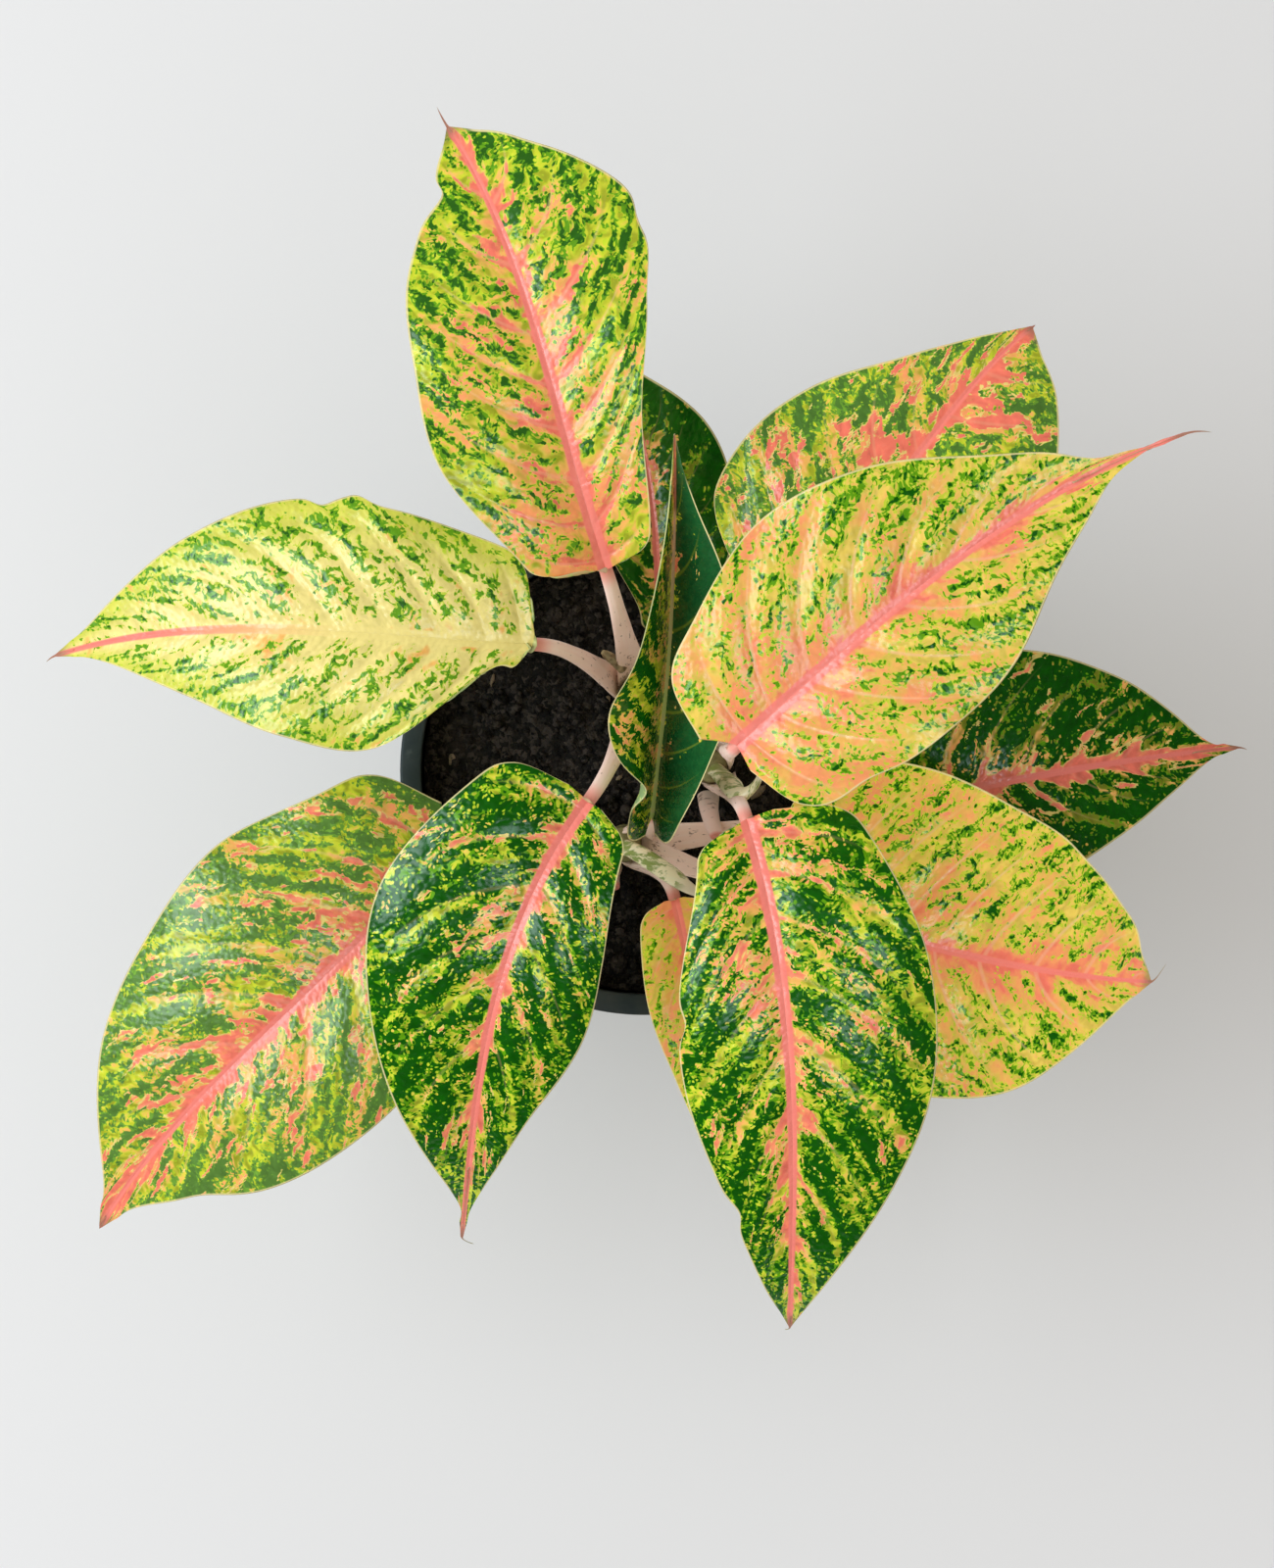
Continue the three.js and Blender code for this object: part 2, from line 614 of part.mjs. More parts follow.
function soil() {
  const random = seededRandom(7);
  const neck = POT_HEIGHT - COLLAR_DROP - COLLAR_STEP;
  const side = WALL + SOIL_CLEARANCE;
  const edge = wallRadius(neck) - side;
  const rings = [
    ringOf(FOOT_RADIUS - side, () => FLOOR + GAP),
    ringOf(edge, () => neck),
  ];
  for (let ring = 0; ring < SOIL_RINGS; ring += 1) {
    const level = SOIL_LEVEL - (ring === 0 ? SOIL_EDGE_DROP : 0);
    const radius = edge * (1 - ring / SOIL_RINGS);
    rings.push(ringOf(radius, () => level + SOIL_RELIEF * (2 * random() - 1)));
  }
  let body = toSolid(loft(rings));
  for (const place of Object.values(CANES)) {
    body = body.subtract(toSolid(cane(place, GAP)));
  }
  return toGeometry(mainBody(body));
}

function ringOf(radius, heightAt) {
  const points = [];
  for (let side = 0; side < SOIL_SIDES; side += 1) {
    const turn = 2 * Math.PI * side / SOIL_SIDES;
    points.push(new THREE.Vector3(radius * Math.cos(turn), radius * Math.sin(turn), heightAt()));
  }
  return points;
}

// The plant put together: what comes later in a bundle is trimmed clear of what is already there

const plant = new THREE.Group();

function addMesh(name, geometry, colour, roughness, metalness = 0) {
  const material = new THREE.MeshStandardMaterial({ color: COLOURS[colour], roughness, metalness });
  const mesh = new THREE.Mesh(geometry, material);
  mesh.name = name;
  plant.add(mesh);
}

addMesh('pot', pot(), 'pot', 0.45);
addMesh('soil', soil(), 'soil', 0.95);

const fatBodies = [];

function trimmed(geometry) {
  let body = toSolid(geometry);
  for (const fat of fatBodies) {
    body = body.subtract(fat);
  }
  return toGeometry(mainBody(body));
}

for (const [name, place] of Object.entries(CANES)) {
  addMesh(`stem_${name}`, cane(place), 'cane', 0.6);
  fatBodies.push(toSolid(cane(place, GAP)));
}
for (const leaf of LEAVES) {
  addMesh(`petiole_${leaf.name}`, trimmed(petiole(leaf)), 'pink', 0.5);
  fatBodies.push(toSolid(petiole(leaf, TRIM_GAP)));
}
for (const shoot of SMALL_SHOOTS) {
  const colour = shoot.kind === 'petiole' ? 'pink' : shoot.kind;
  addMesh(shoot.name, trimmed(smallShoot(shoot)), colour, 0.55);
  fatBodies.push(toSolid(smallShoot(shoot, TRIM_GAP)));
}
for (const leaf of LEAVES) {
  addMesh(`leaf_${leaf.name}`, blade(leaf), BLADE_COLOURS[leaf.name], 0.35);
}

export default plant;
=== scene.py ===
"""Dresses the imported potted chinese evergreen: patterned blades, petioles, young shoots, canes, soil and pot.

Run as a script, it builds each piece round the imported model, in metres, +Z up, on the model's own origin.
The tables of the plant's sizes are in millimetres, as measured on the plant, and MM turns them into metres.
"""

import math
from types import SimpleNamespace

import bmesh
import bpy
import numpy as np
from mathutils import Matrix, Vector, noise


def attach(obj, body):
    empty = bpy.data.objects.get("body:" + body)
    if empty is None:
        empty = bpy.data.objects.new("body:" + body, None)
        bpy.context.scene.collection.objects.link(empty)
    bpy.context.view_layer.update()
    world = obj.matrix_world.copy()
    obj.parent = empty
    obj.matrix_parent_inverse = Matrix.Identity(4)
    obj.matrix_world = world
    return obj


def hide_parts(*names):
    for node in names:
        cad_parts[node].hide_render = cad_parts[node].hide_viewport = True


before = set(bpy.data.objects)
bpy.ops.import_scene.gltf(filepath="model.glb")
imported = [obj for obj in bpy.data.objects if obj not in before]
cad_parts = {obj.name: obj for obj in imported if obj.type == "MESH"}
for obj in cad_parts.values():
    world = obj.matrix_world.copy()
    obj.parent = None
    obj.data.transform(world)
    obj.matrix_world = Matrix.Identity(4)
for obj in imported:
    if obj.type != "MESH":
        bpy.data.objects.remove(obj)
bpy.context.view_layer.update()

bl_info = {
    "name": "Potted Spring Red Chinese Evergreen",
    "version": (1, 0, 0),
    "blender": (4, 5, 0),
    "location": "3D View > Sidebar > Evergreen",
    "description": "Builds a potted spring red chinese evergreen round its packed model",
    "category": "Add Mesh",
}

MM = 0.001
TINY = 1e-12
BODY = "root"

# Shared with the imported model: where each cane stands, and how high it reaches
CANES = {
    "back": {"x": -2, "y": 23, "top": 152},
    "right": {"x": 20, "y": 1, "top": 154},
    "front": {"x": -6.5, "y": -22.5, "top": 150},
}
CANE_FOOT = 94
CANE_RADIUS = 6.2
CANE_TOP_RADIUS = 4.8

# base and tip are the ends of the midrib. rise and bow bend it up and to its right, a third and two thirds
# of the way out. left and right are half widths at 10, 30, 50, 70 and 90 per cent of the blade, and lobe is how
# far each margin starts behind the base. fold is how far the halves stand up at the midrib's two ends, and cup
# how far each half turns down by its margin. node is the height of the petiole's foot. wave is how many waves
# a margin has, how high they are and where they start. whisker is the dry tip's reach forwards, to the right
# and up. quilt is how far the blade swells between its lateral veins. bays move a margin out or in: which one,
# where, how far and over what length. curls roll a half up or down in the same way, by an angle.
LEAF_VALUES = (
    "cane", "node", "base", "tip", "rise", "bow",
    "left", "right", "lobe", "fold", "cup",
    "wave", "whisker", "quilt", "slot", "bays",
)
LEAVES = {name: dict(zip(LEAF_VALUES, row)) for name, row in {
    "north": (
        "back", 143, (-11, 55, 214), (-54, 175, 222), (20, 20), (1, 9),
        (24, 36, 35, 29, 11), (17, 22, 31, 37, 15), (-0.02, -0.01), (26, 10), 25,
        (2.5, 1.5, 0.1), (7, 0.5, 1), 0.9, "leaf_lime", [("left", 0.86, -4, 0.03), ("right", 0.66, -2, 0.04)],
    ),
    "west": (
        "back", 134, (-31, 35, 202), (-170, 33, 178), (24, 20), (2, 11),
        (9, 32, 30, 19, 5), (28, 35, 37, 26, 7), (-0.02, -0.01), (18, 10), 30,
        (3, 1.5, 0.3), (4.5, -1, 0), 1.2, "leaf_lime", [("right", 0.44, -2, 0.025), ("right", 0.37, 2, 0.03)],
    ),
    "southwest": (
        "front", 126, (-57, -21, 162), (-167, -140, 128), (26, 26), (-4, 9),
        (24, 40, 42, 33, 8), (39, 50, 46, 34, 8), (0, 0.04), (16, 10), 30,
        (2.5, 2, 0.2), (1, 0, 0), 0.9, "leaf_green", [("left", 0.8, -1.5, 0.04)],
    ),
    "south_left": (
        "back", 138, (-16, -9, 207), (-55, -140, 146), (32, 34), (17, 6),
        (19, 26, 27, 15, 3), (31, 41, 36, 23, 3), (0, 0), (22, 10), 40,
        (2, 1, 0.6), (5, -4, -1), 0.9, "leaf_dark", [],
    ),
    "south_right": (
        "right", 138, (28, -14, 210), (43, -165, 156), (34, 34), (-10, -3),
        (33, 42, 41, 29, 10), (19, 29, 30, 20, 8), (0, -0.01), (18, 10), 35,
        (2.5, 1.5, 0.4), (4.5, 1.5, -2), 1.0, "leaf_green",
        [("right", 0.36, -2, 0.03), ("right", 0.74, -2.5, 0.03)],
    ),
    "south_low": (
        "front", 123, (9, -39, 142), (38, -138, 110), (18, 16), (2, 7),
        (12, 16, 16, 13, 5), (13, 15, 12, 9, 4), (0, 0), (12, 8), 25,
        (2, 1, 0.1), (3, 1, 0), 0.3, "leaf_lime", [],
    ),
    "southeast": (
        "front", 138, (38, -37, 168), (153, -64, 140), (28, 26), (5, 5),
        (47, 50, 46, 39, 20), (25, 44, 43, 34, 10), (0.05, 0.01), (12, 8), 25,
        (2, 2, 0), (4, -6, 2), 1.3, "leaf_lime", [],
    ),
    "northeast": (
        "right", 146, (24, 6, 248), (137, 85, 272), (10, 0), (-6, -13),
        (32, 40, 33, 16, 2), (30, 34, 31, 16, 2), (0.04, 0.01), (16, 12), 25,
        (3, 1.5, 0.5), (7, 2, -1), 1.4, "leaf_lime",
        [("right", 0.14, -1.5, 0.05), ("left", 0.84, -2.5, 0.05), ("right", 0.85, -1.5, 0.05)],
    ),
    "east": (
        "front", 129, (65, -12, 150), (182, 7, 126), (20, 18), (-2, -3),
        (31, 40, 37, 25, 4), (27, 35, 29, 18, 4), (0, 0.03), (14, 10), 30,
        (2.5, 1.5, 0.7), (4.5, 1, 0), 0.6, "leaf_dark", [],
    ),
    "north_right": (
        "right", 130, (35, 47, 188), (112, 128, 176), (22, 20), (10, -5),
        (38, 41, 36, 20, 6), (18, 31, 35, 36, 21), (0.02, 0), (16, 10), 30,
        (2.5, 1.5, 0.2), (1.5, 0, 0), 0.8, "leaf_green", [],
    ),
    "back": (
        "back", 127, (4, 42, 160), (-9, 120, 172), (10, 8), (4, 7),
        (7, 15, 18, 17, 9), (15, 23, 24, 19, 6), (0.01, 0), (30, 14), 20,
        (2, 1, 0), (2, 0, 0), 0.25, "leaf_dark", [],
    ),
    "center": (
        "front", 143, (2, -13, 177), (7, 85, 270), (-9, -13), (2, 3),
        (19, 29, 27, 18, 4), (20, 26, 29, 22, 5), (0.04, 0.03), (74, 58), 12,
        (1.5, 1.5, 0), (1.5, 0, 1), 0.2, "leaf_dark", [],
    ),
}.items()}
LEAVES["center"].update(
    twist=-20,
    curls=[("left", 0, -45, 0.08), ("left", 0.2, 60, 0.08), ("left", 0.45, -40, 0.12)])

# How the blades are coloured: one value for each blade, in the order of LEAVES
BLADE_COLOURING = {
    # How much of it is flecked, and how much of that is deep green
    "green": (0.33, 0.2, 0.53, 0.8, 0.66, 0.1, 0.12, 0.17, 0.78, 0.54, 0.86, 0.58),
    "deep": (0.26, 0, 0.2, 0.26, 0.2, 0.1, 0.2, 0.1, 0.56, 0.2, 0.65, 0.7),
    # How far the greens turn to a greyer green, a painted sheen that veils them
    "painted_sheen_grey": (0.1, 0.1, 0.45, 0.0, 0.0, 0.0, 0.0, 0.0, 0.0, 0.35, 0.0, 0.0),
    # How strongly the flecks gather, and the size of the groups across and along the veins in mm
    "clump": (0.9, 0.8, 1.0, 1.0, 1.0, 0.8, 0.8, 0.7, 1.0, 1.0, 1.0, 1.0),
    "cluster": (
        (4.5, 8), (4, 7), (5, 15), (5.5, 20), (5.5, 18), (4, 6),
        (4, 7), (4, 7), (5, 20), (5, 12), (5, 18), (5, 16)),
    # The size of one fleck across and along, and how clear the pale dots in the green are
    "speck": (
        (2, 3.3), (1.6, 2.6), (2.2, 3.2), (2.6, 3.8), (2, 3.3), (1.4, 2.0),
        (1.6, 2.8), (1.5, 2.3), (1.8, 4.5), (2, 2.8), (2, 3.8), (1.8, 3)),
    "dots": (0.7, 0.3, 0.8, 1.1, 1.1, 0.3, 0.6, 0.6, 0.8, 0.7, 0.4, 0.5),
    # How wide a fleck's bright edge is
    "halo": (1.6, 1.2, 1.0, 1.0, 1.1, 2.2, 2.2, 1.8, 0, 1.1, 0.2, 0.2),
    # How much of the pale ground turns apricot, and how much greener the blade grows towards its tip
    "warm": (0.56, 0.0, 0.5, 0.32, 0.4, 0.66, 0.6, 0.5, 0.35, 0.62, 0.3, 0.45),
    "drift": (0.9, 0.3, 0.0, 0.4, 0.6, 0.4, 0.4, 1.0, 0.0, 0.2, 0.0, 0.0),
    # How much is bare and pink, and how far that runs out along the lateral veins
    "patch": (0.18, -0.5, 0.29, 0.16, 0.12, 0.08, 0.1, 0.06, 0.12, 0.36, 0.02, 0.06),
    "flame": (1.5, 0.0, 0.7, 0.7, 1.2, 0.4, 0.6, 0.5, 0.8, 0.7, 0.2, 0.2),
    # How wide the pink lies along the midrib, and how much of it is at its reddest
    "wash": (0.6, 0.0, 0.7, 0.5, 0.5, 0.4, 1, 1.0, 1, 0.5, 0.3, 0.0),
    "coral": (0.8, 0.0, 0.7, 0.3, 0.3, 0.0, 0, 0, 0.8, 1.2, 1.0, 0.5),
    # How hard the edge of a bare patch is and how few flecks lie on it, and its size across and along
    "over": (0.6, 0.3, 1.0, 1.0, 0.9, 0.3, 0.4, 0.5, 1.0, 1.0, 1.0, 1.0),
    "blotch": (
        (4.6, 8), (4.6, 8), (4.4, 8), (5, 6.5), (4.4, 8), (4.6, 8),
        (4.6, 8), (4.6, 8), (6, 13), (5, 6), (5, 10), (4, 7)),
    # The pale line round a bare patch, and the colour of the pale ground
    "border": (0.3, 0.0, 0.9, 0.8, 0.6, 0.0, 0.0, 0.0, 0.8, 0.9, 0.6, 0.6),
    "ground": (
        "lime", "cream", "lime", "lime", "lime", "yellow",
        "yellow", "yellow", "olive", "lime", "olive", "lime"),
    # The strength of the lateral veins, and how uneven the blade's lightness is
    "vein": (0.3, 0.7, 0.2, 0.12, 0.12, 0.3, 0.5, 0.5, 0.15, 0.2, 0.1, 0.2),
    "mottle": (0.5, 0.12, 0.6, 0.7, 0.6, 0.3, 0.25, 0.22, 0.7, 0.5, 0.7, 0.5),
    # The midrib's half width in mm, and how light the whole blade is: partly the blade's own lightness, partly
    # painted light that lifts the blades lying in others' shade and painted shade that keeps the east and back
    # blades dark
    "stripe": (2.3, 2.2, 2.1, 2.1, 2.2, 1.4, 1.7, 2.2, 1.6, 1.8, 1.3, 1.7),
    "tone": (1.16, 1.08, 1.08, 1.08, 1.16, 1.6, 1.6, 1.08, 0.98, 1.36, 0.9, 1.45),
    # A colour of its own for the inner midrib and the veins, and how calm and dark the left half is, its teal
    # partly a painted sheen
    "rib": ("", "cream", "", "", "", "", "", "", "", "", "", "lime"),
    "calm": (0, 0, 0, 0, 0, 0, 0, 0, 0, 0, 0, 0.4),
}
PATTERNS = {
    name: SimpleNamespace(**{key: values[number] for key, values in BLADE_COLOURING.items()})
    for number, name in enumerate(LEAVES)}

# A blade's own fine grid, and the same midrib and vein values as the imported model
BLADE_ROWS = 180
BLADE_HALF_COLUMNS = 38
COLUMN_CROWDING = 0.7
UNDERSIDE_STEP = 3
WHISKER_ROWS = 8
WHISKER_TAPER = 0.7
WHISKER_WIDTH = 0.8
BLADE_THICKNESS = 0.6
MARGIN_TAPER = 0.7
SECTION_STEPS = 8
VEIN_SWEEP = 1.3
WAVE_SHIFT = 0.37
TIP_HALF_WIDTH = 0.45
STATIONS = (0.1, 0.3, 0.5, 0.7, 0.9)
BASE_WIDTH = 0.25
BASE_TURN = 0.29
BASE_TURN_WIDTH = 0.78
TIP_TURN = 0.965
TIP_TURN_WIDTH = 0.36
RIB_DEPTH = 2.0
RIB_TIP_DEPTH = 0.2
RIB_HALF_WIDTH = 2.2
RIB_CREST = 0.2
LATERAL_FIRST = 0.05
LATERAL_STEP = 0.115
LATERAL_BEND = 0.05
LATERAL_WANDER = 0.12
RIPPLE_HEIGHT = 0.35
RIDGE_DEPTH = 0.25
CELL = 1.0
WOBBLE = 2.6
RAGGED = 0.55
SPECK_SLANT = 52
SIDE_SHIFT = 500

# Shares of a petiole's length, with its half width, half thickness and how far its edges wrap the cane
PETIOLE_SHARES = (0.0, 0.2, 0.45, 0.7, 1.0)
PETIOLE_WIDTHS = (5.4, 4.4, 3.0, 2.2, 1.9)
PETIOLE_DEPTHS = (1.5, 1.9, 2.0, 1.9, 1.9)
PETIOLE_WRAPS = (2.8, 2.0, 0.9, 0.2, 0.0)
PETIOLE_SEAT = 0.8
PETIOLE_SINK = 1.9
PETIOLE_RINGS = 44
PETIOLE_SIDES = 28
PETIOLE_ROOT_RINGS = 6
PETIOLE_ROOT = 7

# Rolled young leaves, pruned petioles and a dry sheath tip: the skin, how flat and how many times rolled it
# is, and x, y, z and radius at each point of its path
SHOOTS = {
    "new_leaf_hook": ("young", 0.8, 1.6, [
        (21, 0, 152, 2.6), (23, -3, 175, 2.9), (24.5, -5, 190, 3.1), (26.5, -7, 196, 2.7),
        (29.5, -6, 198.5, 1.9), (32, -2.5, 199, 1.2), (31.5, 1.5, 200, 0.7), (29, 3.5, 202, 0.4)]),
    "new_leaf_spear": ("young", 0.7, 0.8, [
        (-6, -23, 148, 2.6), (-1, -25.5, 157, 2.9), (6, -30, 163, 2.9), (12, -34, 167, 2.2),
        (17, -37, 169, 0.8)]),
    "cut_petiole_right": ("petiole", 0.6, 0, [
        (19.5, -8, 126, 3.4), (19.5, -12, 136, 2.9), (20.5, -17, 145, 2.4), (21.5, -20, 149, 1.9)]),
    "cut_petiole_front": ("petiole", 0.7, 0, [
        (-10, -29.5, 121, 3.2), (-10.5, -32, 127, 2.9), (-10, -35.5, 132, 2.4)]),
    "sheath_tip": ("dry", 0.6, 0, [
        (-6.5, 30, 158, 1.7), (-9, 32, 166, 1.6), (-11.2, 33.3, 173, 1.3), (-12.3, 34, 177, 0.7)]),
}
SHOOT_RINGS = 60
SHOOT_SIDES = 28
ROLL_STEP = 0.16


# Colours

def colour(hexadecimal):
    """A colour as Blender keeps it, from the red, green and blue of a picture"""
    shares = [int(hexadecimal[start:start + 2], 16) / 255 for start in (0, 2, 4)]
    return tuple(s / 12.92 if s <= 0.04045 else ((s + 0.055) / 1.055) ** 2.4 for s in shares)


def hue(name, description, hexadecimal):
    """A colour that the panel shows"""
    return bpy.props.FloatVectorProperty(
        name=name, description=description, subtype="COLOR", size=3, min=0, max=1,
        default=colour(hexadecimal))


def measure(name, description, millimetres):
    """A length that the panel shows"""
    return bpy.props.FloatProperty(
        name=name, description=description, unit="LENGTH", min=0, default=millimetres * MM)


# What a user would change

class EvergreenBladeLook(bpy.types.PropertyGroup):
    lime: hue("Lime", "Pale ground of most blades", "c4cc30")
    yellow: hue("Yellow", "Pale ground of the pink and yellow blades", "e6c858")
    cream: hue("Cream", "Pale ground of the palest blade", "ecda86")
    olive: hue("Olive", "Pale ground of the darkest blades", "7a841e")
    halo: hue("Fleck edge", "Bright edge round the green flecks", "b4cc2a")
    green: hue("Green", "Middle of the green flecks", "5c9806")
    deep: hue("Deep green", "Heart of the largest green flecks", "0e5403")
    # A greyer green that stands for a painted sheen on the greens
    painted_sheen_grey: hue("Sheen grey", "Greyer green of some blades", "7ca04e")
    # Teal green of the calm half: its own dark green, partly a painted sheen
    teal_sheen: hue("Teal sheen", "Calm half of the middle blade", "1a4c2e")
    apricot: hue("Apricot", "Ground near the midrib of the palest blades", "e8ad5a")
    salmon: hue("Salmon", "Bare patches", "ee8c62")
    coral: hue("Coral", "Bare patches beside the midrib", "e86e60")
    midrib: hue("Midrib", "The midrib's stripe", "f2887c")
    vein: hue("Vein", "Thin line of a lateral vein", "f2c296")
    edge: hue("Patch edge", "Pale line round a bare patch", "e0cf78")
    margin: hue("Margin", "Thin pale edge of a blade", "e4d49a")
    dry: hue("Dry tip", "The thin dry end of a blade", "8a6a58")
    underside: hue("Underside", "Back of a blade", "a9bd84")


class EvergreenStemLook(bpy.types.PropertyGroup):
    # The petiole and sheath pinks are paler than the stems' own, partly painted light that makes up for the shade
    # of the blades above
    petiole: hue("Petiole", "Pink of the petioles", "ffdccf")
    sheath: hue("Sheath", "Wider foot of a petiole", "fbdcca")
    fleck: hue("Fleck", "Brown marks on the petioles", "8c6450")
    young: hue("Young leaf", "Pale bands of a rolled leaf", "f6eac0")
    young_band: hue("Young leaf band", "Green bands of a rolled leaf", "8c9c4c")
    cane: hue("Cane", "Canes", "7f7a4c")
    scar: hue("Leaf scar", "Rings where leaves once stood", "55452f")


class EvergreenPotLook(bpy.types.PropertyGroup):
    rim_radius: measure("Rim radius", "From the middle to the outside of the rim", 75)
    height: measure("Height", "From the underside to the top of the rim", 130)
    foot_radius: measure("Foot radius", "From the middle to the outside of the foot", 54)
    rim_width: measure("Rim width", "Flat top of the rim", 6.5)
    wall: measure("Wall", "Thickness of the wall", 1.8)
    plastic: hue("Plastic", "Moulded plastic", "1b282b")
    dust: hue("Dust", "Soil dust and scuffs", "55524a")


class EvergreenSoilLook(bpy.types.PropertyGroup):
    level: measure("Level", "Height of the soil", 118)
    relief: measure("Relief", "Height of the lumps in the surface", 1.5)
    crumbs: bpy.props.IntProperty(name="Crumbs", description="How many loose crumbs lie on it", default=1100)
    peat: hue("Peat", "Dark soil", "110e0d")
    fibre: hue("Fibre", "Brown crumbs", "3c322c")
    chip: hue("Chip", "Pale wood chips", "8d7b68")


class EvergreenStageLook(bpy.types.PropertyGroup):
    floor: hue("Floor", "The pale surface below", "e7e7e9")
    camera_height: measure("Camera height", "From the floor to the camera", 980)
    view_height: measure("View height", "How much the picture spans at the rim", 480)
    window: bpy.props.FloatProperty(
        name="Window", description="Power of the wide light", unit="POWER", default=29)
    gloss: bpy.props.FloatProperty(
        name="Gloss", description="Power of the light that shows in the gloss alone", unit="POWER", default=18)
    sky: bpy.props.FloatProperty(
        name="Sky", description="Strength of the even light from all round", default=0.66)


SETTINGS = {
    "evergreen_blades": EvergreenBladeLook,
    "evergreen_stems": EvergreenStemLook,
    "evergreen_pot": EvergreenPotLook,
    "evergreen_soil": EvergreenSoilLook,
    "evergreen_stage": EvergreenStageLook,
}


# Meshes

def add_object(name, data):
    """Puts a mesh, a light or a camera in the scene"""
    made = bpy.data.objects.new(name, data)
    bpy.context.scene.collection.objects.link(made)
    return made


def add_piece(name, points, faces, materials, node, values=None):
    """Makes one smooth piece from points in mm, and lets it stand for its CAD node"""
    mesh = bpy.data.meshes.new(name)
    mesh.from_pydata((np.asarray(points, float) * MM).tolist(), [], faces)
    for material in materials:
        mesh.materials.append(material)
    mesh.polygons.foreach_set("use_smooth", [True] * len(mesh.polygons))
    for key, rows in (values or {}).items():
        layer = mesh.attributes.new(key, "FLOAT_VECTOR", "POINT")
        layer.data.foreach_set("vector", np.asarray(rows, np.float32).ravel())
    mesh.update()
    piece = add_object(name, mesh)
    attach(piece, BODY)
    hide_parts(node)
    return piece


def skin(rings, sides):
    """Faces between rings of equal count, with both ends closed"""
    faces = []
    for first in range(0, (rings - 1) * sides, sides):
        for side in range(sides):
            a, b = first + side, first + (side + 1) % sides
            faces.append((a, b, b + sides, a + sides))
    last = (rings - 1) * sides
    return [*faces, tuple(reversed(range(sides))), tuple(range(last, last + sides))]


def add_tube(name, rings, material, node, run=None):
    """A piece through rings of equal count, and how far along and round each of its points lies"""
    values = {"run": np.concatenate(run)} if run else None
    return add_piece(
        name, np.concatenate(rings), skin(len(rings), len(rings[0])), [material], node, values)


def level_ring(count, radius, centre):
    """Points round a level circle. Its radius may change on the way"""
    turns = all_round(count)
    around = np.stack([np.cos(turns), np.sin(turns), np.zeros(count)], -1)
    return centre + around * np.reshape(radius, (-1, 1))


def all_round(count):
    """Angles evenly all the way round"""
    return np.linspace(0, 2 * math.pi, count, endpoint=False)


def unit(vectors):
    """Vectors of length one, along the last axis"""
    return vectors / np.maximum(np.linalg.norm(vectors, axis=-1, keepdims=True), TINY)


def through_rows(rows, shares):
    """A smooth curve through rows of numbers, at shares of the way from the first to the last"""
    rows = np.asarray(rows, float)
    last = len(rows) - 1
    padded = np.vstack([2 * rows[0] - rows[1], rows, 2 * rows[-1] - rows[-2]])
    place = np.clip(shares, 0, 1) * last
    index = np.minimum(place.astype(int), last - 1)
    t = (place - index)[:, None]
    a, b, c, d = padded[index], padded[index + 1], padded[index + 2], padded[index + 3]
    third = (3 * b - a - 3 * c + d) * t**3
    second = (2 * a - 5 * b + 4 * c - d) * t**2
    return 0.5 * (2 * b + (c - a) * t + second + third)


def cubic(ends, share):
    """A point of a curve with four control points, and the curve's derivative there"""
    t = np.asarray(share, float)[..., None]
    a, b, c, d = ends
    point = (1 - t)**3 * a + 3 * (1 - t)**2 * t * b + 3 * (1 - t) * t**2 * c + t**3 * d
    return point, 3 * (1 - t)**2 * (b - a) + 6 * (1 - t) * t * (c - b) + 3 * t**2 * (d - c)


def frames_along(ways, across):
    """Two directions across each way, turned no more than they must from one way to the next"""
    frames = []
    for way in ways:
        across = unit(across - way * across.dot(way))
        frames.append((across, np.cross(across, way)))
    return frames


def ripple(seed, *coordinates):
    """Smooth low waves, different for each seed, between about -1 and 1"""
    draw = np.random.default_rng(seed)
    total = 0
    for _ in range(5):
        turns = draw.uniform(0.6, 1.6, len(coordinates)) * draw.choice((-1, 1), len(coordinates))
        shift = draw.uniform(0, 2 * math.pi)
        total = total + np.sin(sum(c * turn for c, turn in zip(coordinates, turns)) + shift)
    return total / 3


# Shader nodes

class Value:
    """What a node gives out. Its sums, differences and products are nodes of the same material"""

    def __init__(self, paint, socket):
        self.paint = paint
        self.socket = socket

    def __add__(self, other):
        return self.paint.math("ADD", self, other)

    def __sub__(self, other):
        return self.paint.math("SUBTRACT", self, other)

    def __rsub__(self, other):
        return self.paint.math("SUBTRACT", other, self)

    def __mul__(self, other):
        return self.paint.math("MULTIPLY", self, other)

    __radd__ = __add__
    __rmul__ = __mul__

    def step(self, start, end):
        """0 before start and 1 after end, or the other way round if start is the larger"""
        low, high, first, last = (start, end, 0.0, 1.0) if start < end else (end, start, 1.0, 0.0)
        values = {"Value": self, "From Min": low, "From Max": high, "To Min": first, "To Max": last}
        return self.paint.add("ShaderNodeMapRange", values, interpolation_type="SMOOTHSTEP")

    def scaled(self, factors, shift=(0, 0, 0)):
        values = {0: self, 1: factors, 2: shift}
        return self.paint.add("ShaderNodeVectorMath", values, operation="MULTIPLY_ADD")

    def axes(self):
        x = self.paint.add("ShaderNodeSeparateXYZ", {0: self})
        return x, x.beside(1), x.beside(2)

    def beside(self, output):
        """Another output of the same node"""
        return Value(self.paint, self.socket.node.outputs[output])


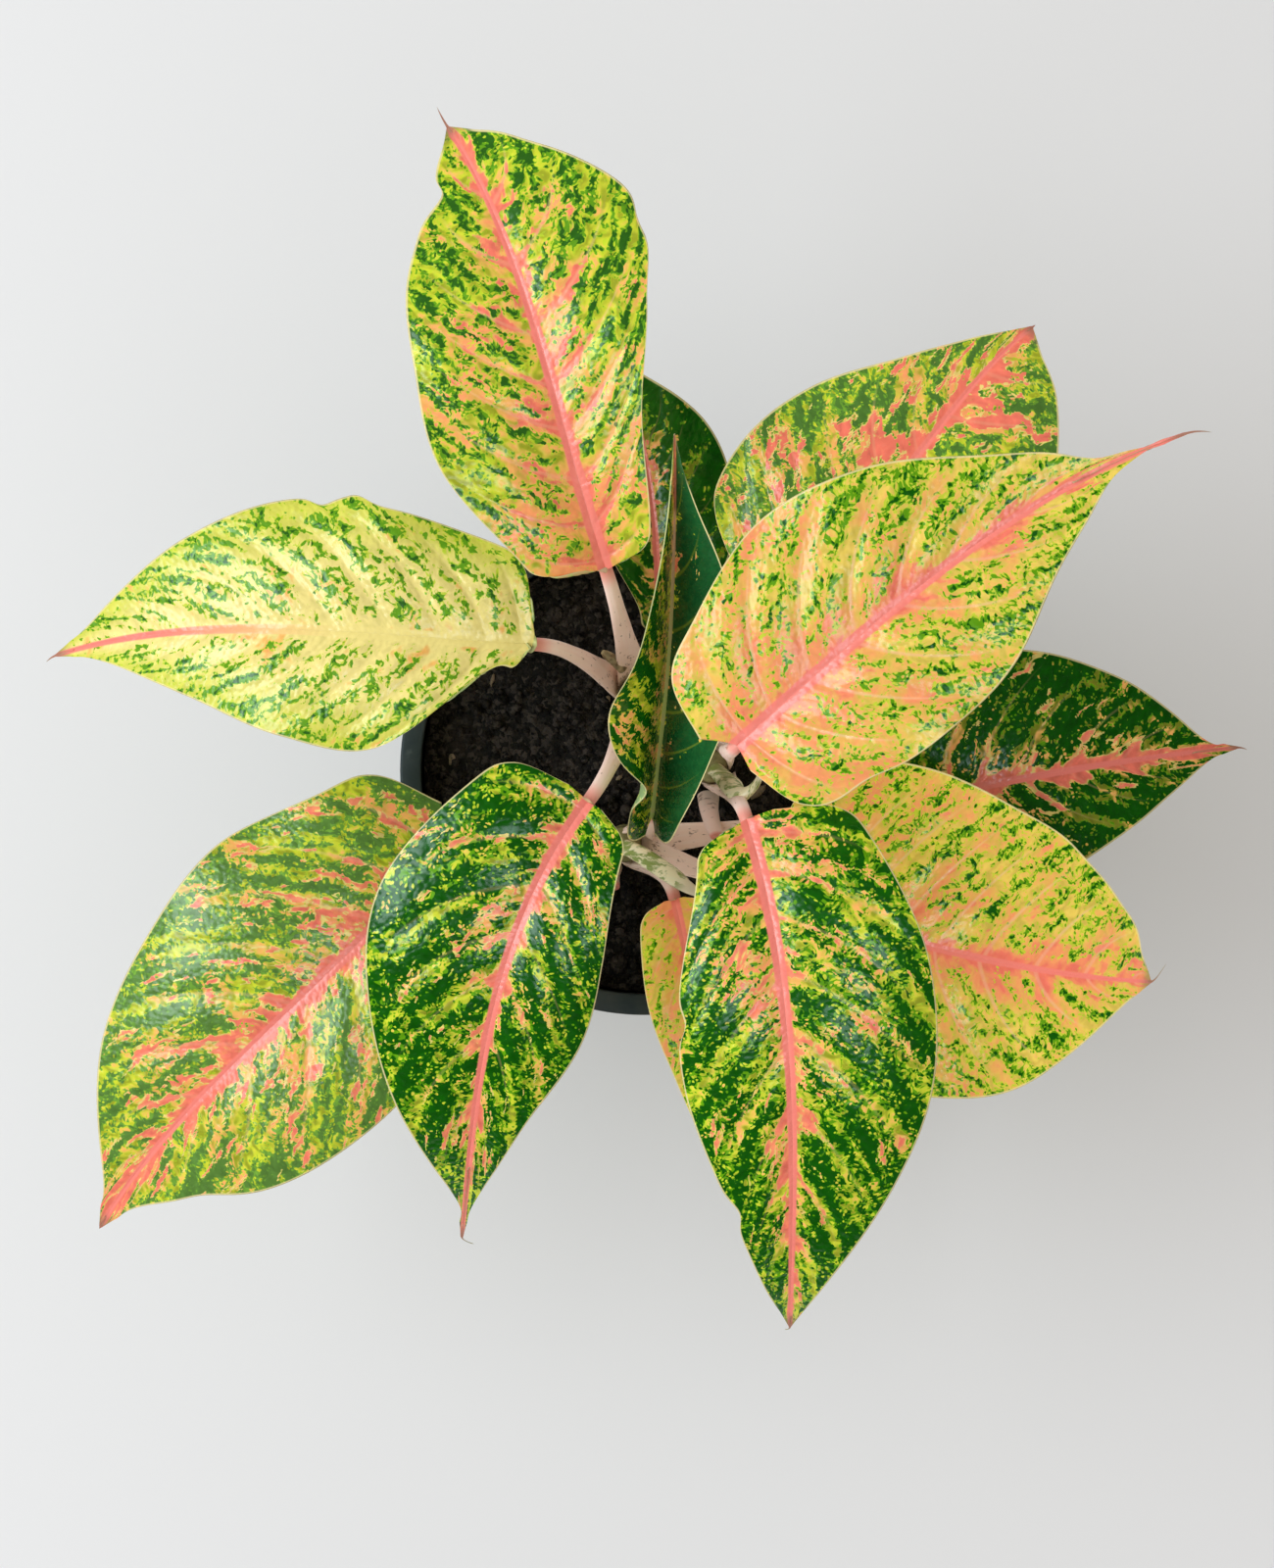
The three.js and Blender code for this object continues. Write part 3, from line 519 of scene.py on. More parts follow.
class Paint:
    """One material's node tree. Each call adds a node and gives its value"""

    def __init__(self, name, shift=(0, 0, 0)):
        self.material = bpy.data.materials.new(name)
        self.material.use_nodes = True
        self.tree = self.material.node_tree
        self.tree.nodes.clear()
        self.shift = shift

    def add(self, kind, values, output=0, **settings):
        node = self.tree.nodes.new(kind)
        for key, value in settings.items():
            setattr(node, key, value)
        for key, value in values.items():
            if isinstance(value, Value):
                self.tree.links.new(value.socket, node.inputs[key])
            else:
                node.inputs[key].default_value = value
        return Value(self, node.outputs[output]) if node.outputs else None

    def math(self, operation, first, second=0.0, clamp=False):
        return self.add("ShaderNodeMath", {0: first, 1: second}, operation=operation, use_clamp=clamp)

    def place(self):
        return self.add("ShaderNodeTexCoord", {}, output="Object")

    def attribute(self, name):
        return self.add("ShaderNodeAttribute", {}, output="Vector", attribute_name=name)

    def joined(self, x, y, z):
        return self.add("ShaderNodeCombineXYZ", {0: x, 1: y, 2: z})

    def noise(self, place, scale=1.0, detail=2.0, rough=0.5, output=0, flat=False):
        values = {"Vector": place, "Scale": scale, "Detail": detail, "Roughness": rough}
        dimensions = "2D" if flat else "3D"
        return self.add("ShaderNodeTexNoise", values, output=output, noise_dimensions=dimensions)

    def flat_noise(self, place, size, detail=0, rough=0.5, output=0):
        """Noise on a blade laid flat, its grain as large as size across and along, in mm"""
        laid = place.scaled((1 / size[0], 1 / size[1], 0), self.shift)
        return self.noise(laid, 1.0, detail, rough, output, True)

    def mixed(self, share, first, second, blend="MIX"):
        four = [c if isinstance(c, Value) else (*c, 1.0) for c in (first, second)]
        values = {0: share, 6: four[0], 7: four[1]}
        return self.add("ShaderNodeMix", values, output=2, data_type="RGBA", blend_type=blend)

    def coated(self, shade, *coats):
        """A shade with coats of colour over it, each laid as thickly as its share says"""
        for share, coat in coats:
            shade = self.mixed(share, shade, coat)
        return shade

    def bump(self, height, strength, distance, below=None):
        values = {"Height": height, "Strength": strength, "Distance": distance}
        if below is not None:
            values["Normal"] = below
        return self.add("ShaderNodeBump", values)

    def finish(self, base, roughness, shine, normal=None):
        """Ends the tree in one shader, with how much it shines on the shader's own socket"""
        values = {"Base Color": base, "Roughness": roughness, "Specular IOR Level": shine}
        if normal is not None:
            values["Normal"] = normal
        self.add("ShaderNodeOutputMaterial", {"Surface": self.add("ShaderNodeBsdfPrincipled", values)})
        return self.material


# Blades

def margin_rows(widths, lobe):
    """Along the blade from base to tip: where the margin is, how far out, and where its vein starts"""
    first, second, third, fourth, fifth = widths
    return [
        (-lobe, BASE_WIDTH * first, 0),
        (-lobe + (STATIONS[0] + lobe) * BASE_TURN, BASE_TURN_WIDTH * first, 0.012),
        (STATIONS[0], first, 0.035), (STATIONS[1], second, 0.13), (STATIONS[2], third, 0.30),
        (STATIONS[3], fourth, 0.50), (STATIONS[4], fifth, 0.80),
        (TIP_TURN, TIP_TURN_WIDTH * fifth, 0.93), (1, TIP_HALF_WIDTH, 1),
    ]


def midrib_of(leaf):
    """The four control points of the midrib, in mm"""
    base, tip = np.array((leaf["base"], leaf["tip"]), float)
    across = tip - base
    to_right = unit(np.array((across[1], -across[0], 0)))
    bends = [
        base + across * share + to_right * bow + (0, 0, rise)
        for share, bow, rise in zip((1 / 3, 2 / 3), leaf["bow"], leaf["rise"])]
    return base, *bends, tip


def midrib_frame(leaf, ends, share):
    """Along, sideways and up at a share of the midrib"""
    along = unit(cubic(ends, share)[1])
    level = unit(np.cross(along, (0, 0, 1.0)))
    steep = np.cross(level, along)
    turn = np.radians(leaf.get("twist", 0) * np.asarray(share, float))[..., None]
    side = level * np.cos(turn) + steep * np.sin(turn)
    return along, side, steep * np.cos(turn) - level * np.sin(turn)


def swell(distance, reach):
    """1 at no distance, and falling away beyond reach"""
    return np.exp(-((distance / reach) ** 2))


def blade_surface(leaf, q, v):
    """The upper face at every q from base to tip and v from left margin to right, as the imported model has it"""
    rows = [
        through_rows(margin_rows(leaf[side], lobe), q) for side, lobe in zip(("left", "right"), leaf["lobe"])]
    out = np.abs(v)[None, :]
    on_right = np.broadcast_to((v > 0)[None, :], (len(q), len(v)))
    on_side = {"left": ~on_right, "right": on_right}
    margin_at, margin_width, vein_start = (
        np.where(on_right, rows[1][:, column, None], rows[0][:, column, None]) for column in range(3))
    along = vein_start + (margin_at - vein_start) * out**VEIN_SWEEP
    width = margin_width * out
    for side, at, depth, reach in leaf["bays"]:
        width = width + on_side[side] * depth * out**2 * swell(margin_at - at, reach)
    width = np.maximum(width, 0)
    share = width / np.where(on_right, max(leaf["right"]), max(leaf["left"]))
    s = np.maximum(along, 0)
    fold = np.radians(leaf["fold"][0] + (leaf["fold"][1] - leaf["fold"][0]) * s)
    curl = np.zeros_like(width)
    for side, at, degrees, reach in leaf.get("curls", []):
        curl += on_side[side] * math.radians(degrees) * swell(along - at, reach)
    sideways = np.zeros_like(width)
    height = np.zeros_like(width)
    for step in range(SECTION_STEPS):
        t = share * (step + 0.5) / SECTION_STEPS
        angle = fold - math.radians(leaf["cup"]) * t + curl * t * t
        sideways += np.cos(angle) * width / SECTION_STEPS
        height += np.sin(angle) * width / SECTION_STEPS
    waves, swing, phase = leaf["wave"]
    turn = 2 * math.pi * (waves * along + phase + np.where(on_right, 0, WAVE_SHIFT))
    height += swing * np.sin(turn) * share**2 * np.clip(1.2 - s, 0, 1)
    ends = midrib_of(leaf)
    _, side_way, up = midrib_frame(leaf, ends, s)
    points = cubic(ends, s)[0] + np.minimum(along, 0)[..., None] * cubic(ends, np.zeros(1))[1]
    points = points + side_way * (sideways * np.sign(v))[..., None] + up * height[..., None]
    return points, along, width, margin_width, 0.5 * (margin_at + vein_start)


def grid_normals(points):
    """Upward normals of a grid of points"""
    down_rows, over_columns = np.gradient(points, axis=(0, 1))
    return unit(np.cross(over_columns, down_rows))


def column_shares():
    """Shares of the width from left margin to right margin, closer at both ends of each half"""
    u = np.linspace(0, 1, BLADE_HALF_COLUMNS + 1)
    half = u - COLUMN_CROWDING * np.sin(2 * math.pi * u) / (2 * math.pi)
    return np.concatenate([-half[:0:-1], half])


def whisker_rows(leaf, rim, along, side, up):
    """The thin dry end past the tip, each row narrower than the one before"""
    forward, rightward, upward = leaf["whisker"]
    rows = []
    middle = rim.mean(axis=0)
    for row in range(1, WHISKER_ROWS + 1):
        share = row / WHISKER_ROWS
        centre = middle + along * forward * share + (side * rightward + up * upward) * share**2
        rows.append(centre + (rim - middle) * (1 - share) ** WHISKER_TAPER * WHISKER_WIDTH)
    return np.array(rows)


def blade_grid(leaf, seed):
    """Upper and lower points of a blade with its relief, and the values that its colours follow"""
    q = np.linspace(0, 1, BLADE_ROWS + 1)
    v = column_shares()
    points, midrib_share, width, margin_width, middle_at = blade_surface(leaf, q, v)
    s = np.maximum(midrib_share, 0)
    out = np.abs(v)[None, :]
    length = np.linalg.norm(np.diff(points[:, BLADE_HALF_COLUMNS], axis=0), axis=1).sum()
    steps = np.linalg.norm(np.diff(points, axis=1), axis=2)
    run = np.concatenate([np.zeros((len(q), 1)), np.cumsum(steps, axis=1)], axis=1)
    from_midrib = run - run[:, BLADE_HALF_COLUMNS, None]
    to_margin = np.where(v[None, :] < 0, run, run[:, -1:] - run)
    bend = LATERAL_BEND * out**3 * np.clip(middle_at / 0.15, 0, 1)
    vein_at = middle_at - bend
    lateral = (vein_at - LATERAL_FIRST) / LATERAL_STEP
    lateral = lateral + LATERAL_WANDER * ripple(seed, vein_at * 9, np.sign(v)[None, :] * 2.0)

    between = np.abs(np.sin(math.pi * lateral)) ** 0.7
    envelope = np.sin(math.pi * np.clip(out, 0, 1) ** 0.8) * np.clip(margin_width / 20, 0, 1)
    relief = leaf["quilt"] * (between - 0.5) * envelope
    relief += RIPPLE_HEIGHT * ripple(seed + 1, vein_at * 16, from_midrib * 0.14) * np.clip(width / 8, 0, 1)
    crest_half = RIB_HALF_WIDTH * (1 - 0.65 * s)
    relief += RIB_CREST * (1 - 0.7 * s) * np.exp(-((width / crest_half) ** 4))
    upper = points + grid_normals(points) * relief[..., None]

    ends = midrib_of(leaf)
    along, side, up = midrib_frame(leaf, ends, 1.0)
    upper = np.concatenate([upper, whisker_rows(leaf, upper[-1], along, side, up)])
    reach = np.concatenate([s, np.repeat(s[-1:], WHISKER_ROWS, axis=0)])
    reach[-WHISKER_ROWS:] += np.linspace(0.004, 0.05, WHISKER_ROWS)[:, None]

    def carried_on(rows):
        return np.concatenate([rows, np.repeat(rows[-1:], WHISKER_ROWS, axis=0)])

    vein = np.stack([length * vein_at, from_midrib, lateral], axis=-1)
    place = np.stack([reach, np.broadcast_to(out, reach.shape), carried_on(to_margin)], axis=-1)
    slant = math.radians(SPECK_SLANT)
    across = length * midrib_share * math.sin(slant) - width * math.cos(slant) + SIDE_SHIFT * (v > 0)[None, :]
    forward = length * midrib_share * math.cos(slant) + width * math.sin(slant)
    flat = np.stack([across, forward, width], axis=-1)

    distance = width / np.maximum(crest_half, 0.3)
    depth = (RIB_DEPTH + (RIB_TIP_DEPTH - RIB_DEPTH) * np.minimum(s, 1)) * np.maximum(1 - distance**2, 0)
    depth = depth + BLADE_THICKNESS * (1 - np.exp(-to_margin / MARGIN_TAPER))
    ridges = RIDGE_DEPTH * (1 - between) ** 3 * envelope
    depth = carried_on((depth + ridges) * np.clip(margin_width / 3, 0.25, 1))
    lower = upper - grid_normals(upper) * depth[..., None]
    return upper, lower, {"vein": carried_on(vein), "place": place, "flat": carried_on(flat)}


def blade_faces(rows, columns, lower_columns):
    """Faces over the upper grid and the coarser lower one, which share their outer points"""
    upper = np.arange(rows * columns).reshape(rows, columns)
    lower = upper.copy()
    inner = np.zeros((rows, columns), bool)
    inner[1:-1, lower_columns[1:-1]] = True
    lower[inner] = rows * columns + np.arange(inner.sum())
    corners = upper[:-1, :-1], upper[:-1, 1:], upper[1:, 1:], upper[1:, :-1]
    faces = np.stack(corners, -1).reshape(-1, 4).tolist()
    over = len(faces)
    for row in range(rows - 1):
        for left, right in zip(lower_columns[:-1], lower_columns[1:]):
            if row == 0:
                faces.append((*upper[0, left:right + 1][::-1], lower[1, left], lower[1, right]))
            elif row == rows - 2:
                faces.append((*upper[-1, left:right + 1], lower[row, right], lower[row, left]))
            else:
                faces.append((lower[row, right], lower[row, left], lower[row + 1, left], lower[row + 1, right]))
    return faces, over, inner


def cell_coordinates(paint, flat):
    """The blade laid flat, in mm: wobbled, then pulled towards the middles of small cells for ragged edges"""
    wobble = paint.flat_noise(flat, (5, 5), output=1)
    wobbled = wobble.scaled((WOBBLE, WOBBLE, 0), flat.scaled((1, 1, 0), (-WOBBLE / 2, -WOBBLE / 2, 0)))
    cell = paint.add(
        "ShaderNodeTexVoronoi", {"Vector": wobbled.scaled((1 / CELL, 1 / CELL, 0)), "Scale": 1.0},
        output="Position", voronoi_dimensions="2D")
    middles = cell.scaled((CELL, CELL, 0))
    ragged = paint.add("ShaderNodeMix", {0: RAGGED, 4: wobbled, 5: middles}, output=1, data_type="VECTOR")
    cell_tint, cell_lift, _ = cell.beside("Color").axes()
    pale = cell_tint.step(0.6, 0.9) - 0.7 * cell_tint.step(0.4, 0.1)
    return wobbled, ragged, cell.beside("Distance").step(0.6, 0.25) * pale, cell_lift


def blade_material(name, look, pattern, seed, underneath):
    """One side of a blade. Its green is a cell-edged noise cut at several levels, so each fleck has its halo"""
    paint = Paint(name, (seed * 3.7, seed * 1.9, 0))
    vein, flat = paint.attribute("vein"), paint.attribute("flat")
    _, along_vein, lateral = vein.axes()
    reach, out, inset = paint.attribute("place").axes()
    from_rib = flat.axes()[2]
    wobbled, ragged, dot, cell_lift = cell_coordinates(paint, flat)
    moved = paint.add("ShaderNodeVectorMath", {0: ragged, 1: flat}, operation="SUBTRACT")
    patch_place = vein.scaled((1, 1, 0), moved)

    fleck = paint.flat_noise(ragged, pattern.speck, 2, 0.7)
    clump = paint.flat_noise(patch_place, pattern.cluster, 1)
    patch = paint.flat_noise(patch_place, pattern.blotch, 2, 0.6)
    tint = paint.flat_noise(wobbled, (2.6, 4.2), 1)
    broad = paint.flat_noise(wobbled, (12, 16)) - 0.5

    inner = 1.0 - out
    off_vein = paint.math("ABSOLUTE", paint.math("FRACT", lateral + 0.5) - 0.5)
    flame = paint.math("DIVIDE", off_vein, 0.17 * inner + 0.05)
    flame = paint.math("SUBTRACT", 1.0, flame, clamp=True) * out.step(0.95, 0.25)
    beside_rib, near_rib = from_rib.step(4.5, 1.0), from_rib.step(15.0, 2.0)

    patch_level = (
        patch + 0.17 * pattern.flame * flame + 0.20 * pattern.wash * beside_rib
        + 0.10 * pattern.wash * near_rib - 0.08 * out + 0.35 * broad + 0.5 * (pattern.patch - 0.4))
    softness = 0.01 + 0.05 * (1 - pattern.over)
    border, bare = (patch_level.step(cut - softness, cut + softness) for cut in (0.53, 0.568))
    heart = patch_level.step(0.61 - 0.07 * pattern.coral, 0.78 - 0.12 * pattern.coral)
    pink = paint.mixed(0.8 * heart, look.salmon, look.coral)

    warmth = (
        1.6 * broad + (pattern.warm - 0.12) + 1.5 * (tint - 0.5) + 0.22 * pattern.wash * near_rib
        + 0.25 * pattern.flame * flame - 0.25 * out + 0.9 * pattern.drift * (0.5 - reach))
    ground = getattr(look, pattern.ground)
    if pattern.ground == "cream":
        ground = paint.mixed(0.75 * out.step(0.4, 1.0), ground, look.lime)
    shade = paint.coated(
        ground, (pattern.mottle * tint.step(0.58, 0.34), look.olive), (warmth.step(0.1, 0.6), look.apricot),
        (0.75 * warmth.step(0.55, 1.05), look.salmon), (pattern.border * border, look.edge), (bare, pink))

    green_level = (
        fleck + pattern.clump * (clump - 0.5) - 0.3 * pattern.dots * dot + 0.05 * out - 0.16 * beside_rib
        - 0.04 * near_rib + 0.44 * (pattern.green - 0.5) - 0.4 * pattern.over * border
        + 0.14 * (off_vein.step(0.04, 0.32) - 0.5) + 0.18 * pattern.drift * (reach - 0.4))
    if pattern.calm:
        calm = along_vein.step(0.5, 3.0)
        green_level = green_level + pattern.calm * calm
    halo_cut = 0.5 - 0.05 * pattern.halo
    deep_cut = 0.68 - 0.2 * pattern.deep
    leafy = paint.mixed(green_level.step(deep_cut - 0.03, deep_cut + 0.03), look.green, look.deep)
    # Painted sheen: the greens greyed as if veiled by a reflection
    if pattern.painted_sheen_grey:
        leafy = paint.mixed(pattern.painted_sheen_grey, leafy, look.painted_sheen_grey)
    # The calm half turns teal, partly a painted sheen
    if pattern.calm:
        leafy = paint.mixed(0.7 * calm, leafy, look.teal_sheen)
    halo = green_level.step(halo_cut - 0.02, halo_cut + 0.02)
    shade = paint.coated(shade, (0.85 * halo, look.halo), (green_level.step(0.49, 0.52), leafy))
    light = 0.1 * cell_lift + (0.95 - 0.5 * pattern.mottle) + pattern.mottle * tint
    shade = paint.mixed(1.0, shade, paint.joined(light, light, light), blend="MULTIPLY")

    own = getattr(look, pattern.rib) if pattern.rib else None
    vein_line = (off_vein - (0.028 * inner + 0.008)).step(0.03, -0.02) * pattern.vein * out.step(0.95, 0.6)
    vein_colour = own or paint.mixed(0.4 * near_rib, look.vein, look.midrib)
    over_stripe = from_rib - pattern.stripe * (1.0 - 0.72 * reach)
    rib_colour = paint.mixed(0.3 * over_stripe.step(-1.6, -0.4), look.midrib, look.coral)
    if own:
        rib_colour = paint.mixed(reach.step(0.35, 0.8), own, rib_colour)
    on_margin = inset.step(0.8, 0.4) * from_rib.step(3.0, 6.0)
    shade = paint.coated(
        shade, (vein_line, vein_colour), (over_stripe.step(0.35, -0.2), rib_colour),
        (0.8 * on_margin, look.margin), (0.75 * reach.step(0.955, 1.0), look.dry))
    # Each blade's overall lightness: partly its own, partly painted light on blades that others shade and painted
    # shade on the east and back blades
    shade = paint.mixed(1.0, shade, (pattern.tone,) * 3, blend="MULTIPLY")
    if underneath:
        shade = paint.coated(shade, (0.62, look.underside), (0.3 * flame, look.vein))

    wrinkle = paint.flat_noise(flat, (1.3, 1.8))
    smooth, uneven = (0.5, 0.2) if underneath else (0.15, 0.16)
    return paint.finish(shade, uneven * wrinkle + smooth, 0.4, paint.bump(wrinkle, 0.35, 0.0004))


def build_blade(name, leaf, look, number):
    seed = 11 + 7 * number
    upper, lower, values = blade_grid(leaf, seed)
    rows, columns = upper.shape[:2]
    lower_columns = sorted({0, BLADE_HALF_COLUMNS, columns - 1, *range(1, columns - 1, UNDERSIDE_STEP)})
    faces, over, inner = blade_faces(rows, columns, lower_columns)
    points = np.concatenate([upper.reshape(-1, 3), lower[inner]])
    fields = {key: np.concatenate([grid.reshape(-1, 3), grid[inner]]) for key, grid in values.items()}
    materials = [
        blade_material(f"blade_{name}{side}", look, PATTERNS[name], float(seed), bool(side))
        for side in ("", "_underside")]
    blade = add_piece(f"blade_{name}", points, faces, materials, f"leaf_{name}", fields)
    blade.data.polygons.foreach_set("material_index", [0] * over + [1] * (len(faces) - over))


# Petioles, shoots and canes

def cane_radius(place, z):
    share = (z - CANE_FOOT) / (place["top"] - CANE_FOOT)
    return CANE_RADIUS + (CANE_TOP_RADIUS - CANE_RADIUS) * share


def petiole_curve(leaf):
    """The middle line from the side of the cane to just behind the blade"""
    place = CANES[leaf["cane"]]
    along, side, up = midrib_frame(leaf, midrib_of(leaf), 0.0)
    end = np.array(leaf["base"], float) - up * PETIOLE_SINK - along * PETIOLE_SEAT
    outward = np.array((end[0] - place["x"], end[1] - place["y"], 0))
    if np.linalg.norm(outward) < CANE_RADIUS:
        outward = np.array((along[0], along[1], 0))
    foot = np.array((place["x"], place["y"], leaf["node"]), float)
    foot = foot + unit(outward) * (cane_radius(place, leaf["node"]) + PETIOLE_DEPTHS[0])
    reach = np.linalg.norm(end - foot)
    early = foot + unit(end - foot) * 0.2 * reach + np.array((0, 0, 0.16 * reach))
    level = math.hypot(end[0] - foot[0], end[1] - foot[1])
    late = end - along * (0.3 * level + 5)
    return (foot, early, late, end), along, side, up


def build_petiole(name, leaf, material):
    ends, blade_along, side, up = petiole_curve(leaf)
    shares = np.linspace(0, 1, PETIOLE_RINGS)
    centres, slopes = cubic(ends, shares)
    frames = frames_along(unit(slopes)[::-1], side)[::-1]
    lengths = np.concatenate([[0], np.cumsum(np.linalg.norm(np.diff(centres, axis=0), axis=1))])
    turns = all_round(PETIOLE_SIDES)
    rings, run = [], []
    for share, centre, (across, inward), length in zip(shares, centres, frames, lengths):
        width, depth, wrap = (
            np.interp(share, PETIOLE_SHARES, sizes)
            for sizes in (PETIOLE_WIDTHS, PETIOLE_DEPTHS, PETIOLE_WRAPS))
        ridge = 1 + 0.03 * np.sin(9 * turns) * (1 - 0.5 * share)
        flat = across[None] * (width * ridge * np.cos(turns))[:, None]
        thick = inward[None] * (depth * ridge * np.sin(turns) + wrap * np.cos(turns) ** 2)[:, None]
        rings.append(centre + flat + thick)
        run.append(np.stack([np.full(PETIOLE_SIDES, length), turns, np.full(PETIOLE_SIDES, share)], -1))
    last = rings[-1]
    for step in range(1, PETIOLE_ROOT_RINGS + 1):
        share = step / PETIOLE_ROOT_RINGS
        centre = centres[-1] + blade_along * PETIOLE_ROOT * share + up * (0.25 - 1.0 * share)
        rings.append(centre + (last - centres[-1]) * (1 - 0.6 * share))
        run.append(run[-1] + np.array((PETIOLE_ROOT / PETIOLE_ROOT_RINGS, 0, 0)))
    add_tube(f"petiole_of_{name}", rings, material, f"petiole_{name}", run)


def petiole_material(look):
    paint = Paint("petiole_skin")
    length, turn, share = paint.attribute("run").axes()
    round_way = paint.joined(0.08 * length, paint.math("SINE", turn), paint.math("COSINE", turn))
    lines = paint.noise(round_way.scaled((1, 5, 5)), detail=3, rough=0.6)
    cloud = paint.noise(paint.place(), scale=60, detail=3)
    marks = paint.noise(round_way.scaled((3.5, 2.5, 2.5)), detail=3, rough=0.65)
    foot_marks = marks + 0.06 * share.step(0.7, 0.1)
    shade = paint.coated(
        look.petiole, (share.step(0.55, 0.1), look.sheath), (0.4 * lines.step(0.4, 0.7), colour("ffe8dc")),
        (0.15 * cloud.step(0.45, 0.7), colour("c9a080")), (0.8 * foot_marks.step(0.63, 0.70), look.fleck),
        (0.85 * share.step(0.86, 1.0), colour("f08c7c")))
    return paint.finish(shade, 0.2 * cloud + 0.34, 0.5, paint.bump(lines, 0.35, 0.0003))


def build_shoot(name, squash, rolls, path, material, slot):
    """A flattened tube through its points, with the step of a rolled leaf winding round it"""
    shares = np.linspace(0, 1, SHOOT_RINGS)
    before, after = (through_rows(path, np.clip(shares + step, 0, 1)) for step in (-0.02, 0.02))
    ways = unit((after - before)[:, :3])
    turns = all_round(SHOOT_SIDES)
    frames = frames_along(ways, unit(np.cross(ways[0], (0, 0, 1.0))))
    rings, run = [], []
    for share, row, (across, other) in zip(shares, through_rows(path, shares), frames):
        winding = np.mod(turns / (2 * math.pi) - rolls * share, 1)
        radius = row[3] * (1 - ROLL_STEP * winding * (rolls > 0))
        rings.append(
            row[:3] + across * (radius * np.cos(turns))[:, None]
            + other * (radius * squash * np.sin(turns))[:, None])
        run.append(np.stack([np.full(SHOOT_SIDES, 40 * share), winding, np.full(SHOOT_SIDES, share)], -1))
    add_tube(name, rings, material, name, run)


def young_material(look):
    paint = Paint("young_leaf_skin")
    length, winding, share = paint.attribute("run").axes()
    flow = paint.joined(0.22 * length, 5.0 * winding, 0.3)
    bands = paint.noise(flow, detail=3, rough=0.6)
    fine = paint.noise(flow.scaled((1, 5, 1)), detail=2)
    shade = paint.coated(
        look.young, (bands.step(0.44, 0.54), look.young_band), (0.35 * fine.step(0.5, 0.7), colour("f2efd0")),
        (share.step(0.62, 0.8), colour("ecdcc0")), (share.step(0.88, 0.97), colour("fbf8f2")))
    return paint.finish(shade, 0.2 * bands + 0.3, 0.5, paint.bump(fine, 0.4, 0.0003))


def dry_material():
    paint = Paint("dry_sheath_skin")
    fibres = paint.noise(paint.place().scaled((900, 900, 120)), detail=3)
    cloud = paint.noise(paint.place(), scale=140, detail=2)
    shade = paint.coated(
        colour("6f5b3f"), (fibres.step(0.35, 0.65), colour("b9a27c")),
        (0.6 * cloud.step(0.5, 0.65), colour("8d8a6a")))
    return paint.finish(shade, 0.2 * cloud + 0.6, 0.3, paint.bump(fibres, 0.6, 0.0004))


CANE_PROFILE_RINGS = 64
CANE_SIDES = 36
CANE_INTERNODE = 9.5


def build_cane(name, place, material):
    """A short cane with a raised ring at each old leaf, and a rounded top"""
    top = place["top"]
    heights = np.linspace(CANE_FOOT, top - 1.2, CANE_PROFILE_RINGS)
    turns = all_round(CANE_SIDES)
    rings = []
    for z in heights:
        ring_share = math.cos(2 * math.pi * (z - CANE_FOOT) / CANE_INTERNODE)
        radius = cane_radius(place, z) + 0.4 * max(ring_share, 0) ** 6
        radius *= math.sqrt(1 - max((z - top + 4) / 4, 0) ** 2 * 0.8)
        uneven = 1 + 0.02 * np.sin(2 * turns + z * 0.2) + 0.012 * np.sin(5 * turns - z * 0.3)
        rings.append(level_ring(CANE_SIDES, radius * uneven, (place["x"], place["y"], z)))
    add_tube(f"cane_{name}", rings, material, f"stem_{name}")


def cane_material(look):
    paint = Paint("cane_skin")
    place = paint.place()
    cloud = paint.noise(place, scale=110, detail=4, rough=0.6)
    fine = paint.noise(place.scaled((700, 700, 150)), detail=2)
    turn = (place.axes()[2] - CANE_FOOT * MM) * (2 * math.pi / (CANE_INTERNODE * MM))
    ring = paint.math("COSINE", turn).step(0.8, 0.98)
    shade = paint.coated(
        look.cane, (cloud.step(0.35, 0.65), colour("9c9765")), (0.4 * fine.step(0.5, 0.7), colour("6a5f3c")),
        (0.8 * ring, look.scar))
    return paint.finish(shade, 0.25 * cloud + 0.45, 0.4, paint.bump(fine, 0.5, 0.0003))


# Pot

POT_SIDES = 160
COLLAR_DROP = 15
COLLAR_STEP = 2.4
COLLAR_DRAFT = 0.6
RIM_LIP = 3
EDGE_ROUND = 0.8
FLOOR = 2.4
FOOT_ROUND = 1.5
DRAIN_HOLES = 6
DRAIN_RADIUS = 4
DRAIN_CIRCLE = 36
DRAIN_SIDES = 32
DRILL_LENGTH = 6 * FLOOR


def wall_radius(look, z):
    """The outer wall's radius at height z, in mm"""
    neck = look.height / MM - COLLAR_DROP
    foot = look.foot_radius / MM
    top = look.rim_radius / MM - 2 * COLLAR_DRAFT - COLLAR_STEP
    return foot + (top - foot) * z / neck


def rounded(profile, corner_steps=4):
    """Radius and height along a profile, with each corner cut into a small arc of the size it gives"""
    points = [profile[0][:2]]
    for before, here, after in zip(profile, profile[1:], profile[2:]):
        middle = np.array(here[:2], float)
        to_last = unit(np.array(before[:2], float) - middle)
        to_next = unit(np.array(after[:2], float) - middle)
        start = middle + to_last * here[2]
        end = middle + to_next * here[2]
        for t in np.linspace(0, 1, corner_steps + 1):
            points.append(tuple((1 - t)**2 * start + 2 * t * (1 - t) * middle + t**2 * end))
    return points + [profile[-1][:2]]


